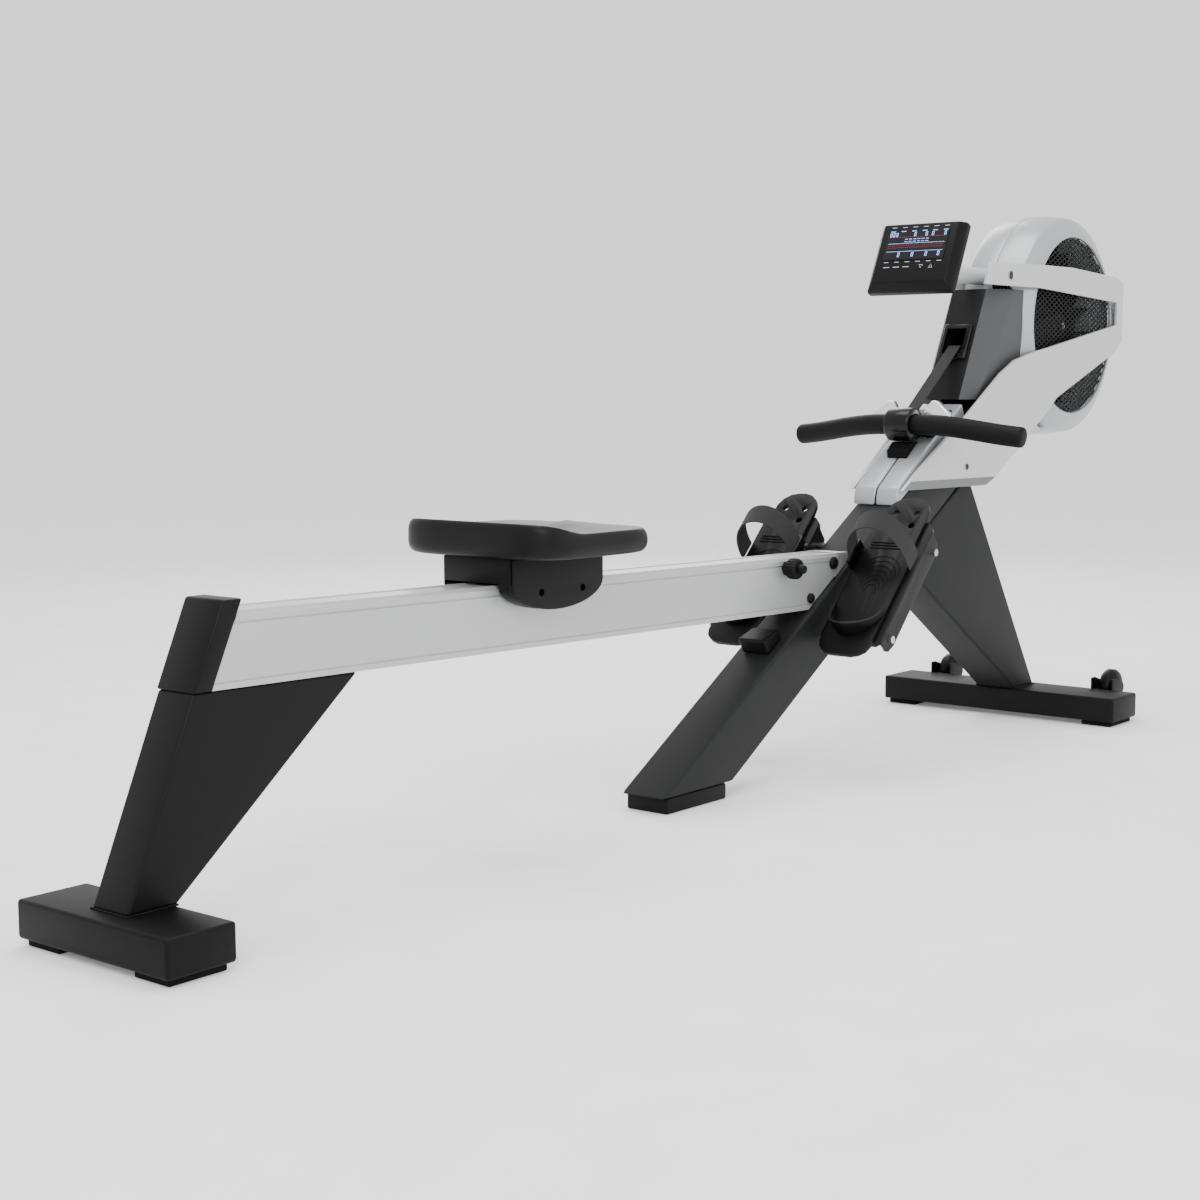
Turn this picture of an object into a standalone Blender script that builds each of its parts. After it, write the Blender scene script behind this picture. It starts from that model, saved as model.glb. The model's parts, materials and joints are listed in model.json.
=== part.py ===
"""Folding rowing machine with a fan and a sliding seat.

Metres, +Z up. +X runs from the rear foot towards the fan, +Y is the rower's left, and the origin is on the
floor in the middle of the machine's length. The rower sits on the rail and faces +X.
"""

import math

import bmesh
import bpy
from mathutils import Vector

GAP = 0.0003
REAR_FOOT_X = (-1.250, -1.154)
REAR_FOOT_HALF = 0.136
FRONT_FOOT_X = (0.857, 0.963)
FRONT_FOOT_HALF = 0.250
FOOT_Z = (0.009, 0.0555)
PAD_LENGTH = 0.060
POST_ANGLE = math.radians(31.6)
POST_START = (-0.264, 0.025)
POST_DEPTH = 0.095
POST_HALF = 0.0414
POST_LENGTH = 1.225
SHEET = 0.0025
RAIL_HALF = 0.0325
RAIL_HEIGHT = 0.0895
RAIL_SLOPE = -0.0148
RAIL_REAR = (-1.0965, 0.2935)
RAIL_FRONT_X = 0.300
PIVOT = (0.214, 0.3475)
STOP_BOLT = (0.145, 0.2940)
LOCK = (0.073, 0.349)
LEG_HALF = 0.0326
SEAT_X = -0.524
PAD_SHIFT = 0.008
PAD_HALF_X = 0.125
PAD_HALF_Y = 0.145
PAD_Z = (0.4135, 0.465)
CARRIAGE_HALF_X = 0.096
CARRIAGE_HALF_Y = 0.034
ROLLER_R = 0.0125
FAN = (1.012, 0.761)
FAN_R = 0.158
SHELL_R = 0.2138
SHELL_RIM_R = 0.2047
SHELL_RIM_Y = 0.060
GRILLE_R = 0.171
GRILLE_Y = 0.0765
DRUM = (0.780, 0.714)
DRUM_R = 0.024
DRIVE_R = 0.034
PULLEY_R = 0.017
NOSE_X = 1.250
HANDLE = (0.492, 0.5745)
GRIP_R = 0.0185
OUTLET = (0.682, 0.722)
TUBE_Z = 0.8475
TUBE_R = 0.016
TILT_AXIS = (0.566, 0.8475)
MONITOR_CENTRE = (0.5215, 0.8775)
MONITOR_TILT = math.radians(25.0)
REST_ANGLE = math.radians(46.0)
REST_ORIGIN = (0.110, 0.211)
REST_Y = 0.1125
REST_LENGTH = 0.335
RAIL_WALL = 0.003
NOSE_R = 0.0225
COVER_Y = (0.0345, 0.0600)
WHEEL = (1.0035, 0.056)
WHEEL_Y = 0.178
ROD_R = 0.0060
ROD_PLACES = ((0.060, -0.030), (0.250, -0.036))
ARM_SIDE = [(0.674, 0.867), (0.812, 0.870), (0.982, 0.871), (1.177, 0.861), (1.205, 0.853), (1.252, 0.849)]
ARM_SIDE += [(1.252, 0.743), (1.190, 0.726), (1.179, 0.712), (0.922, 0.620), (0.881, 0.592), (0.702, 0.474)]
ARM_SIDE += [(0.669, 0.461), (0.400, 0.461), (0.606, 0.590), (0.717, 0.666), (0.765, 0.691), (0.842, 0.709)]
ARM_SIDE += [(1.183, 0.7665), (1.183, 0.811), (0.842, 0.827), (0.661, 0.827)]


def clear_scene():
    for obj in list(bpy.data.objects):
        bpy.data.objects.remove(obj, do_unlink=True)


def material(name, colour, roughness, metallic=0.0):
    mat = bpy.data.materials.new(name)
    mat.use_nodes = True
    shader = mat.node_tree.nodes["Principled BSDF"]
    shader.inputs["Base Color"].default_value = (*colour, 1.0)
    shader.inputs["Roughness"].default_value = roughness
    shader.inputs["Metallic"].default_value = metallic
    mat.diffuse_color = (*colour, 1.0)
    return mat


def finish(name, bm, mat, smooth=False):
    """Turns a bmesh into a named object with outward normals."""
    bmesh.ops.recalc_face_normals(bm, faces=bm.faces)
    mesh = bpy.data.meshes.new(name)
    bm.to_mesh(mesh)
    bm.free()
    obj = bpy.data.objects.new(name, mesh)
    bpy.context.scene.collection.objects.link(obj)
    if mat:
        mesh.materials.append(mat)
    if smooth:
        for face in mesh.polygons:
            face.use_smooth = True
    return obj


def bevel(obj, width, segments=2, angle=35.0):
    mod = obj.modifiers.new("bevel", "BEVEL")
    mod.width = width
    mod.segments = segments
    mod.limit_method = "ANGLE"
    mod.angle_limit = math.radians(angle)
    return obj


def prism(name, outline, y0, y1, mat):
    """An XZ outline run from y0 to y1."""
    bm = bmesh.new()
    near = [bm.verts.new((x, y0, z)) for x, z in outline]
    far = [bm.verts.new((x, y1, z)) for x, z in outline]
    count = len(outline)
    bm.faces.new(near)
    bm.faces.new(far)
    for i in range(count):
        j = (i + 1) % count
        bm.faces.new((near[i], near[j], far[j], far[i]))
    return finish(name, bm, mat)


def box(name, x, y, z, mat):
    return prism(name, [(x[0], z[0]), (x[1], z[0]), (x[1], z[1]), (x[0], z[1])], y[0], y[1], mat)


def turned(name, profile, centre, mat, segments=40, smooth=True):
    """A closed profile of (radius, y) pairs spun about the Y axis through centre."""
    bm = bmesh.new()
    rings = []
    for radius, y in profile:
        if radius < 1e-6:
            vert = bm.verts.new((centre[0], y, centre[1]))
            rings.append([vert] * segments)
            continue
        ring = []
        for i in range(segments):
            a = 2 * math.pi * i / segments
            ring.append(bm.verts.new((centre[0] + radius * math.cos(a), y, centre[1] + radius * math.sin(a))))
        rings.append(ring)
    count = len(profile)
    for k in range(count):
        first, second = rings[k], rings[(k + 1) % count]
        for i in range(segments):
            j = (i + 1) % segments
            corners = []
            for vert in (first[i], first[j], second[j], second[i]):
                if vert not in corners:
                    corners.append(vert)
            if len(corners) > 2:
                bm.faces.new(corners)
    return finish(name, bm, mat, smooth)


def rod(name, centre, radius, y0, y1, mat, segments=32):
    return turned(name, [(0, y0), (radius, y0), (radius, y1), (0, y1)], centre, mat, segments, False)


def sweep(name, points, radius, mat, resolution=4):
    """A round bar along a smooth run of points."""
    curve = bpy.data.curves.new(name, "CURVE")
    curve.dimensions = "3D"
    curve.bevel_depth = radius
    curve.bevel_resolution = resolution
    curve.use_fill_caps = True
    curve.resolution_u = 6
    line = curve.splines.new("NURBS")
    line.points.add(len(points) - 1)
    for point, place in zip(line.points, points):
        point.co = (*place, 1.0)
    line.order_u = 3
    line.use_endpoint_u = True
    obj = bpy.data.objects.new(name, curve)
    bpy.context.scene.collection.objects.link(obj)
    curve.materials.append(mat)
    return obj


def boolean(obj, other, operation="DIFFERENCE"):
    mod = obj.modifiers.new(operation.lower(), "BOOLEAN")
    mod.operation = operation
    mod.object = other
    other.hide_render = True
    other.display_type = "WIRE"
    return obj


def inset(outline, offsets):
    """Moves each edge of a convex outline inwards by its own offset; a negative one moves it out."""
    area = sum(a[0] * b[1] - b[0] * a[1] for a, b in zip(outline, outline[1:] + outline[:1]))
    turn = 1.0 if area > 0 else -1.0
    lines = []
    for (a, b), offset in zip(zip(outline, outline[1:] + outline[:1]), offsets):
        run = Vector((b[0] - a[0], b[1] - a[1])).normalized()
        inward = Vector((-run.y, run.x)) * turn
        lines.append((Vector(a) + inward * offset, run))
    corners = []
    for i, (p, r) in enumerate(lines):
        q, s = lines[i - 1]
        t = ((p - q).x * r.y - (p - q).y * r.x) / (s.x * r.y - s.y * r.x)
        corners.append(tuple(q + s * t))
    return corners


def hollow(obj, name, outline, offsets, y0, y1):
    return boolean(obj, prism(name + ".inside", inset(outline, offsets), y0, y1, None))


def arc(centre, radius, start, end, steps):
    """Points round a centre in the XZ plane, from start to end in degrees."""
    found = []
    for i in range(steps + 1):
        a = math.radians(start + (end - start) * i / steps)
        found.append((centre[0] + radius * math.cos(a), centre[1] + radius * math.sin(a)))
    return found


def post_point(along, above):
    """A point by its distance up the post and its height over the post's upper face."""
    c, s = math.cos(POST_ANGLE), math.sin(POST_ANGLE)
    return (POST_START[0] + along * c - above * s, POST_START[1] + along * s + above * c)


def post_at_z(z, above):
    c, s = math.cos(POST_ANGLE), math.sin(POST_ANGLE)
    return post_point((z - POST_START[1] - above * c) / s, above)


def rail_z(x, height):
    """Height of the rail at x: 0 is its underside."""
    return RAIL_REAR[1] + RAIL_SLOPE * (x - RAIL_REAR[0]) + height


def foot_bar(name, x, half, mat, wheels):
    bar = box(name, x, (-half, half), FOOT_Z, mat)
    bevel(bar, 0.0035)
    wall = 0.003
    inside_x = (x[0] + wall, x[1] - wall)
    inside = box(name + ".inside", inside_x, (wall - half, half - wall), (FOOT_Z[0] + wall, FOOT_Z[1] - wall), None)
    boolean(bar, inside)
    middle = (x[0] + x[1]) / 2
    drain = box(name + ".drain", (middle - 0.006, middle + 0.006), (-0.006, 0.006), (0.0, 0.03), None)
    boolean(bar, drain)
    for y in wheels:
        for low in (y - 0.0225, y + 0.0195):
            outline = [(0.9610, 0.036), (0.9610, 0.076), (0.975, 0.076)]
            outline += arc(WHEEL, 0.011, 70, -70, 8) + [(0.975, 0.036)]
            boolean(bar, prism(name + ".cheek", outline, low, low + 0.003, None), "UNION")
        axle = rod(name + ".axle", WHEEL, 0.0045, y - 0.021, y + 0.021, None, 20)
        boolean(bar, axle, "UNION")
    return bar


def foot_pad(name, x, y, mat):
    pad = box(name, (x[0] + 0.008, x[1] - 0.008), y, (0.0, FOOT_Z[0] - GAP), mat)
    return bevel(pad, 0.002)


def feet(paint, rubber):
    foot_bar("front_foot", FRONT_FOOT_X, FRONT_FOOT_HALF, paint, (-WHEEL_Y, WHEEL_Y))
    foot_bar("rear_foot", REAR_FOOT_X, REAR_FOOT_HALF, paint, ())
    for end, x, half in (("front", FRONT_FOOT_X, FRONT_FOOT_HALF), ("rear", REAR_FOOT_X, REAR_FOOT_HALF)):
        outer, inner = half - 0.008, half - 0.008 - PAD_LENGTH
        foot_pad(end + "_pad_left", x, (inner, outer), rubber)
        foot_pad(end + "_pad_right", x, (-outer, -inner), rubber)


def post(paint, rubber):
    outline = [post_at_z(POST_START[1], 0), post_at_z(POST_START[1], -POST_DEPTH)]
    outline += [post_point(POST_LENGTH, -POST_DEPTH), post_point(POST_LENGTH, 0)]
    tube = bevel(prism("post", outline, -POST_HALF, POST_HALF, paint), 0.004)
    offsets = (SHEET, SHEET, -0.02, SHEET)
    hollow(tube, "post", outline, offsets, SHEET - POST_HALF, POST_HALF - SHEET)
    for place in ROD_PLACES:
        boolean(tube, rod("post.rod_hole", rest_point(*place), ROD_R + GAP, -0.06, 0.06, None, 24))
    pad = box("post_pad", (-0.250, -0.098), (-0.039, 0.039), (0.0, POST_START[1] - GAP), rubber)
    bevel(pad, 0.002)


def front_leg(paint):
    lift = -POST_DEPTH - GAP
    base = FOOT_Z[1] + GAP
    rear_top = post_point(0.7485, lift)
    front_top = post_point(1.0255, lift)
    outline = [(0.8610, base), (0.9430, base), front_top, rear_top]
    leg = bevel(prism("front_leg", outline, -POST_HALF, POST_HALF, paint), 0.004)
    hollow(leg, "front_leg", outline, (-0.02, SHEET, SHEET, SHEET), SHEET - POST_HALF, POST_HALF - SHEET)


def rear_leg(paint):
    base = FOOT_Z[1] + GAP
    outline = [(-1.2225, base), (-1.1536, base), (-0.869, rail_z(-0.869, -GAP)), (-1.1226, rail_z(-1.1226, -GAP))]
    leg = bevel(prism("rear_leg", outline, -LEG_HALF, LEG_HALF, paint), 0.003)
    hollow(leg, "rear_leg", outline, (-0.02, SHEET, SHEET, SHEET), SHEET - LEG_HALF, LEG_HALF - SHEET)


def transport_wheels(plastic):
    for side, y in (("left", WHEEL_Y), ("right", -WHEEL_Y)):
        dome = [(0.005, y - 0.011), (0.012, y - 0.018), (0.024, y - 0.015), (0.034, y - 0.008)]
        dome += [(0.034, y + 0.008), (0.024, y + 0.015), (0.012, y + 0.018), (0.005, y + 0.011)]
        turned("wheel_" + side, dome, WHEEL, plastic, 36)


def rail_section(half, bottom, top, step, lip):
    """Half-widths against height for an extrusion with a lip along its top and its foot."""
    right = [(-half, bottom), (-half, bottom + lip), (step - half, bottom + lip + step)]
    right += [(step - half, top - lip - step), (-half, top - lip), (-half, top)]
    return right + [(-y, z) for y, z in reversed(right)]


def rail(alloy, plastic, paint):
    section = rail_section(RAIL_HALF, 0.0, RAIL_HEIGHT, 0.0015, 0.008)
    bm = bmesh.new()
    rings = []
    for x in (-1.20, RAIL_FRONT_X):
        rings.append([bm.verts.new((x, y, rail_z(x, z))) for y, z in section])
    bm.faces.new(rings[0])
    bm.faces.new(rings[1])
    for i in range(len(section)):
        j = (i + 1) % len(section)
        bm.faces.new((rings[0][i], rings[0][j], rings[1][j], rings[1][i]))
    bar = finish("rail", bm, alloy)

    tilt = -math.degrees(math.pi / 2 - POST_ANGLE)
    face = post_at_z(0.26, 0.0009)
    outline = [(-1.1117, 0.26), face] + arc(PIVOT, NOSE_R, tilt, 80, 12)
    outline += [(PIVOT[0] - 0.005, 0.42), (-1.0391, 0.42)]
    boolean(bar, prism("rail.ends", outline, -0.05, 0.05, None), "INTERSECT")
    half = RAIL_HALF - RAIL_WALL
    inside = [(-1.3, rail_z(-1.3, RAIL_WALL)), (0.32, rail_z(0.32, RAIL_WALL))]
    inside += [(x, rail_z(x, RAIL_HEIGHT - RAIL_WALL)) for x in (0.32, -1.3)]
    boolean(bar, prism("rail.inside", inside, -half, half, None))
    boolean(bar, box("rail.mouth", (0.045, 0.32), (-half, half), (0.24, 0.300), None))
    boolean(bar, rod("rail.pivot_hole", PIVOT, 0.0066, -0.06, 0.06, None, 28))
    boolean(bar, rod("rail.lock_hole", LOCK, 0.0049, -0.06, 0.0, None, 24))
    sleeve = [(0.0049, -0.0315), (0.0095, -0.0315), (0.0095, -0.0395), (0.0049, -0.0395)]
    boolean(bar, turned("rail.lock_sleeve", sleeve, LOCK, None, 24, False), "UNION")
    for side in (-1, 1):
        ys = sorted((side * 0.0310, side * 0.0385))
        head = turned("rail.stop_bolt", [(0, ys[0]), (0.0075, ys[0]), (0.0075, ys[1]), (0, ys[1])], STOP_BOLT, None, 24)
        boolean(bar, head, "UNION")

    cap = [(-1.1240, rail_z(-1.1240, 0.0)), (-1.0970, rail_z(-1.0970, 0.0)), (-1.0500, 0.3970), (-1.0790, 0.3970)]
    bevel(prism("rail_end_cap", cap, -0.0345, 0.0345, plastic), 0.003)


def fold_mount(silver, paint):
    """Bracket on the post that the rail closes over, with the bolt the rail turns on."""
    tongue = [(0.055, 0.284), post_at_z(0.284, GAP), post_point(0.5310, GAP)]
    tongue += arc(PIVOT, 0.0125, -32, 90, 8) + [(0.055, PIVOT[1] + 0.0125)]
    arm = prism("hinge_bracket", tongue, -0.0275, 0.0275, silver)
    tilt = -math.degrees(math.pi / 2 - POST_ANGLE)
    top = rail_z(0.24, RAIL_HEIGHT)
    filler = [post_point(0.5700, GAP), post_point(0.6240, GAP), (0.2600, top)]
    filler += arc(PIVOT, NOSE_R + 0.0008, 43, tilt + 2, 8)
    boolean(arm, prism("hinge_bracket.block", filler, -RAIL_HALF, RAIL_HALF, None), "UNION")
    foot = [post_point(0.5000, GAP), post_point(0.5900, GAP), post_point(0.5900, 0.0013)]
    foot += [post_point(0.5450, 0.0013), post_point(0.5400, 0.0045), post_point(0.5000, 0.0045)]
    boolean(arm, prism("hinge_bracket.foot", foot, -0.0275, 0.0275, None), "UNION")
    boolean(arm, rod("hinge_bracket.pivot", PIVOT, 0.0066, -0.06, 0.06, None, 28))
    boolean(arm, rod("hinge_bracket.lock", LOCK, 0.0049, -0.06, 0.06, None, 24))
    bolt = [(0, -0.0405), (0.006, -0.040), (0.0095, -0.037), (0.0095, -0.0330), (0.0063, -0.0330)]
    bolt += [(0.0063, 0.0330), (0.0095, 0.0330), (0.0095, 0.037), (0.006, 0.040), (0, 0.0405)]
    turned("pivot_bolt", bolt, PIVOT, paint, 28)
    low, high = 0.352, 0.398
    block = [post_point(low, GAP), post_point(high, GAP), post_point(high, 0.019), post_point(low, 0.030)]
    bevel(prism("rail_rest", block, -0.026, 0.026, paint), 0.004)


def lock_knob(plastic):
    """Ribbed pull knob whose pin passes through the rail's wall and into the bracket."""
    bm = bmesh.new()
    ribs = 16
    rings = []
    levels = ((0.0045, -0.0280), (0.0045, -0.0400), (0.0150, -0.0402), (0.0165, -0.0425), (0.0165, -0.0560))
    levels += ((0.0145, -0.0590), (0.0075, -0.0592), (0.0070, -0.0690), (0.0055, -0.0705))
    for k, (radius, y) in enumerate(levels):
        ring = []
        for i in range(ribs * 2):
            a = math.pi * i / ribs
            r = radius - (0.0012 if i % 2 and 2 < k < 6 else 0.0)
            ring.append(bm.verts.new((LOCK[0] + r * math.cos(a), y, LOCK[1] + r * math.sin(a))))
        rings.append(ring)
    for first, second in zip(rings, rings[1:]):
        for i in range(ribs * 2):
            j = (i + 1) % (ribs * 2)
            bm.faces.new((first[i], first[j], second[j], second[i]))
    bm.faces.new(rings[0])
    bm.faces.new(rings[-1])
    finish("lock_knob", bm, plastic)


def seat(plastic, cushion):
    seat_cushion(cushion)
    x0, x1 = SEAT_X - CARRIAGE_HALF_X, SEAT_X + CARRIAGE_HALF_X
    top = PAD_Z[0] - GAP
    base = [rail_z(x, RAIL_HEIGHT + 0.0025) for x in (x0, x1)]
    body = prism("seat_carriage", [(x0, top), (x1, top), (x1, base[1]), (x0, base[0])], -0.0600, 0.0600, plastic)
    bevel(body, 0.002)
    well_top = rail_z(SEAT_X, RAIL_HEIGHT) + 2 * ROLLER_R + 0.004
    well = box("seat_carriage.well", (x0 + 0.006, x1 - 0.006), (-0.0305, 0.0305), (0.30, well_top), None)
    boolean(body, well)

    edge = 0.3755
    outline = [(x0 + 0.002, edge), (x1 - 0.002, edge)]
    outline += [(SEAT_X + 0.094 * math.cos(math.pi * i / 16), edge - 0.0365 * math.sin(math.pi * i / 16)) for i in range(1, 16)]
    for side, sign in (("left", 1), ("right", -1)):
        ys = sorted((sign * COVER_Y[0], sign * COVER_Y[1]))
        cover = bevel(prism("seat_cover_" + side, outline, ys[0], ys[1], plastic), 0.0015)
        inner = sorted((sign * 0.0300, sign * 0.0540))
        lowered = [(x, z + 0.004) if z < edge else (x, z + 0.01) for x, z in outline]
        shell = [(SEAT_X + (x - SEAT_X) * 0.94, z) for x, z in lowered]
        boolean(cover, prism("seat_cover_%s.inside" % side, shell, inner[0], inner[1], None))
        for shift in (-0.037, 0.049):
            place = (SEAT_X + shift, 0.3645)
            ys = sorted((sign * 0.050, sign * 0.065))
            boolean(cover, rod("seat_cover_%s.hole" % side, place, 0.0045, ys[0], ys[1], None, 16))
    for name, shift in (("seat_roller_front", 0.050), ("seat_roller_rear", -0.050)):
        x = SEAT_X + shift
        place = (x, rail_z(x, RAIL_HEIGHT + ROLLER_R + GAP * 2))
        spool = [(0, -0.028), (0.0105, -0.028), (ROLLER_R, -0.026), (ROLLER_R, -0.014), (0.0105, -0.012)]
        spool += [(0.004, -0.012), (0.004, 0.012), (0.0105, 0.012), (ROLLER_R, 0.014), (ROLLER_R, 0.026)]
        spool += [(0.0105, 0.028), (0, 0.028)]
        turned(name, spool, place, plastic, 28)


def lower_cover(silver):
    """The two halves that cap the post under the handle, meeting on the centre line."""
    outline = [post_point(0.7785, GAP * 3), (0.3992, 0.4480), (0.4060, 0.4660), (0.5000, 0.5340), (0.6270, 0.6110)]
    outline += [post_point(1.0610, GAP * 3)]
    for side, y in (("left", (GAP, 0.0450)), ("right", (-0.0450, -GAP))):
        half = prism("lower_cover_" + side, outline, y[0], y[1], silver)
        bevel(half, 0.003, 2)
        inner = inset(outline, (0.0025, 0.0025, 0.0025, 0.0025, 0.0025, -0.006))
        wall = (y[0] - 0.01, y[1] - 0.003) if side == "left" else (y[0] + 0.003, y[1] + 0.01)
        boolean(half, prism("lower_cover_%s.inside" % side, inner, wall[0], wall[1], None))


def cradle(plastic, rubber):
    """Block and two upstanding horns that hold the handle bar against the pull of the strap."""
    base = [(0.5240, 0.5497), (0.5900, 0.5899), (0.5900, 0.6000), (0.5600, 0.6000), (0.5240, 0.5860)]
    block = prism("handle_cradle", base, -0.0440, 0.0440, plastic)
    boolean(block, box("handle_cradle.slot", (0.50, 0.5275), (-0.0275, 0.0275), (0.50, 0.65), None))
    profile = [(0.0285, 0.5620), (0.0600, 0.5620), (0.0780, 0.5900), (0.0780, 0.5950), (0.0600, 0.6090)]
    profile += [(0.0450, 0.6175), (0.0360, 0.6130), (0.0285, 0.5990)]
    for side in (-1, 1):
        bm = bmesh.new()
        front = [bm.verts.new((0.5118 + 0.35 * max(z - 0.5875, 0.0), side * y, z)) for y, z in profile]
        back = [bm.verts.new((0.5260 + 0.35 * max(z - 0.5875, 0.0), side * y, z)) for y, z in profile]
        bm.faces.new(front)
        bm.faces.new(back)
        for i in range(len(profile)):
            j = (i + 1) % len(profile)
            bm.faces.new((front[i], front[j], back[j], back[i]))
        boolean(block, finish("handle_cradle.horn", bm, None), "UNION")
    pad = [(0.4720, 0.5145), (0.5000, 0.5350), (0.5110, 0.5417), (0.5110, 0.5435), (0.4870, 0.5425), (0.4700, 0.5280)]
    prism("rest_pad", pad, -0.0200, 0.0200, rubber)


def side_arm(name, sign, silver):
    """Panel beside the post whose arm runs round the fan and returns as the band beside the monitor's tube."""
    loop = arm_plan(0.0) + arm_plan(0.008)[::-1]
    bm = bmesh.new()
    low = [bm.verts.new((x, sign * y, 0.40)) for x, y in loop]
    high = [bm.verts.new((x, sign * y, 0.92)) for x, y in loop]
    bm.faces.new(low)
    bm.faces.new(high)
    for i in range(len(loop)):
        j = (i + 1) % len(loop)
        bm.faces.new((low[i], low[j], high[j], high[i]))
    arm = finish(name, bm, silver)
    window = prism(name + ".outline", ARM_SIDE, -0.2, 0.2, None)
    return boolean(arm, window, "INTERSECT")


def fan_housing(silver, mesh_paint):
    wall = 0.003
    for side, sign in (("left", 1), ("right", -1)):
        profile = [(SHELL_R, GAP), (SHELL_R - 0.002, 0.030), (SHELL_RIM_R, SHELL_RIM_Y), (GRILLE_R, GRILLE_Y)]
        profile += [(GRILLE_R - 0.001, GRILLE_Y - 0.0035), (SHELL_RIM_R - wall, SHELL_RIM_Y - wall)]
        profile += [(SHELL_R - 0.002 - wall, 0.029), (SHELL_R - wall, GAP)]
        half = turned("fan_housing_" + side, [(r, sign * y) for r, y in profile], FAN, silver, 72)
        away = [(0.60, 0.40), (0.8165, 0.40), (0.8165, 1.10), (0.60, 1.10)]
        boolean(half, prism("fan_housing_%s.rear_cut" % side, away, -0.2, 0.2, None))
        lane = [post_point(1.0, -0.100), post_point(1.30, -0.100), post_point(1.30, 0.012), post_point(1.0, 0.012)]
        boolean(half, prism("fan_housing_%s.post_cut" % side, lane, -0.0500, 0.0500, None))
        disc = [(0, sign * 0.0708), (GRILLE_R - 0.0018, sign * 0.0708), (GRILLE_R - 0.0018, sign * 0.0728)]
        turned("fan_grille_" + side, disc + [(0, sign * 0.0728)], FAN, mesh_paint, 60, False)


def shroud(paint, plastic, rubber):
    """Dark cover facing the rower, with the strap's outlet in it."""
    bm = bmesh.new()
    rings = []
    for z in (0.6180, 0.6640, 0.7220, 0.7800, 0.8220):
        t = (z - 0.6640) / (0.8220 - 0.6640)
        ridge = 0.6640 + 0.477 * (z - 0.689)
        fold = 0.6900 + 0.0900 * t
        half = 0.0600 + 0.0070 * t if t > 0 else 0.0600 + 0.0330 * t
        ring = [(ridge, -0.034), (ridge, 0.034), (fold, half), (0.8150, half), (0.8150, half - 0.003)]
        ring += [(fold + 0.0015, half - 0.003), (ridge + 0.003, 0.0325), (ridge + 0.003, -0.0325)]
        ring += [(fold + 0.0015, 0.003 - half), (0.8150, 0.003 - half), (0.8150, -half), (fold, -half)]
        rings.append([bm.verts.new((x, y, z)) for x, y in ring])
    count = len(rings[0])
    for first, second in zip(rings, rings[1:]):
        for i in range(count):
            j = (i + 1) % count
            bm.faces.new((first[i], first[j], second[j], second[i]))
    bm.faces.new(rings[0])
    bm.faces.new(rings[-1])
    cover = finish("shroud", bm, paint)
    bm = bmesh.new()
    lid = [(0.7290, -0.034), (0.7290, 0.034), (0.7800, 0.0668), (0.8150, 0.0668), (0.8150, -0.0668), (0.7800, -0.0668)]
    low = [bm.verts.new((x, y, 0.8190)) for x, y in lid]
    high = [bm.verts.new((x, y, 0.8223)) for x, y in lid]
    bm.faces.new(low)
    bm.faces.new(high)
    for i in range(len(lid)):
        j = (i + 1) % len(lid)
        bm.faces.new((low[i], low[j], high[j], high[i]))
    boolean(cover, finish("shroud.lid", bm, None), "UNION")
    gate = [(0.600, 0.6990), (0.75, 0.6990), (0.75, 0.7450), (0.600, 0.7450)]
    boolean(cover, prism("shroud.gate", gate, -0.0205, 0.0205, None))

    lean = math.atan(0.477)
    up = (math.sin(lean), math.cos(lean))
    out = (-math.cos(lean), math.sin(lean))
    centre = (0.664 + 0.477 * (0.722 - 0.689), 0.722)

    def frame_point(along, forward):
        return (centre[0] + up[0] * along + out[0] * forward, centre[1] + up[1] * along + out[1] * forward)

    rim = [frame_point(-0.036, 0.0006), frame_point(0.036, 0.0006), frame_point(0.036, 0.0090), frame_point(-0.036, 0.0090)]
    bezel = bevel(prism("strap_bezel", rim, -0.0285, 0.0285, plastic), 0.003)
    hole = [frame_point(-0.0255, -0.02), frame_point(0.0255, -0.02), frame_point(0.0255, 0.03), frame_point(-0.0255, 0.03)]
    boolean(bezel, prism("strap_bezel.hole", hole, -0.0200, 0.0200, None))
    profile = [(0, -0.0195), (0.0065, -0.0195), (0.0065, -0.0150), (0.0055, -0.0140), (0.0055, 0.0140)]
    profile += [(0.0065, 0.0150), (0.0065, 0.0195), (0, 0.0195)]
    turned("strap_roller", profile, frame_point(-0.0165, -0.0060), rubber, 24)


def belly_cover(silver):
    """Cover that closes the underside between the post and the fan housing."""
    outline = [post_point(1.1650, -POST_DEPTH - 0.0015), (0.7800, 0.5478), (0.8520, 0.5480), (0.9550, 0.5525)]
    outline += arc(FAN, SHELL_R + 0.0015, 254, 229, 5)
    outline += [post_point(1.2580, -POST_DEPTH - 0.0015)]
    return bevel(prism("belly_cover", outline, -0.0490, 0.0490, silver), 0.002)


def axle_plates(paint, steel):
    """Steel cheeks bolted to the post that carry the fan axle and the strap drum."""
    y0 = POST_HALF + GAP
    for side, sign in (("left", 1), ("right", -1)):
        outline = [post_point(1.130, -0.080), post_point(1.440, -0.080)]
        outline += arc(FAN, 0.026, -40, 100, 7)
        outline += [(0.830, 0.7500), (0.795, 0.7360), (0.765, 0.7300), (0.757, 0.7080), post_point(1.180, -0.010)]
        outline += [post_point(1.130, -0.010)]
        ys = sorted((sign * y0, sign * (y0 + 0.004)))
        plate = prism("axle_plate_" + side, outline, ys[0], ys[1], paint)
        boolean(plate, rod("axle_plate_%s.axle" % side, FAN, 0.0063, -0.06, 0.06, None, 24))
        boolean(plate, rod("axle_plate_%s.shaft" % side, DRUM, 0.0063, -0.06, 0.06, None, 24))
    rod("fan_axle", FAN, 0.006, -0.054, 0.054, steel, 24)


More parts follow.
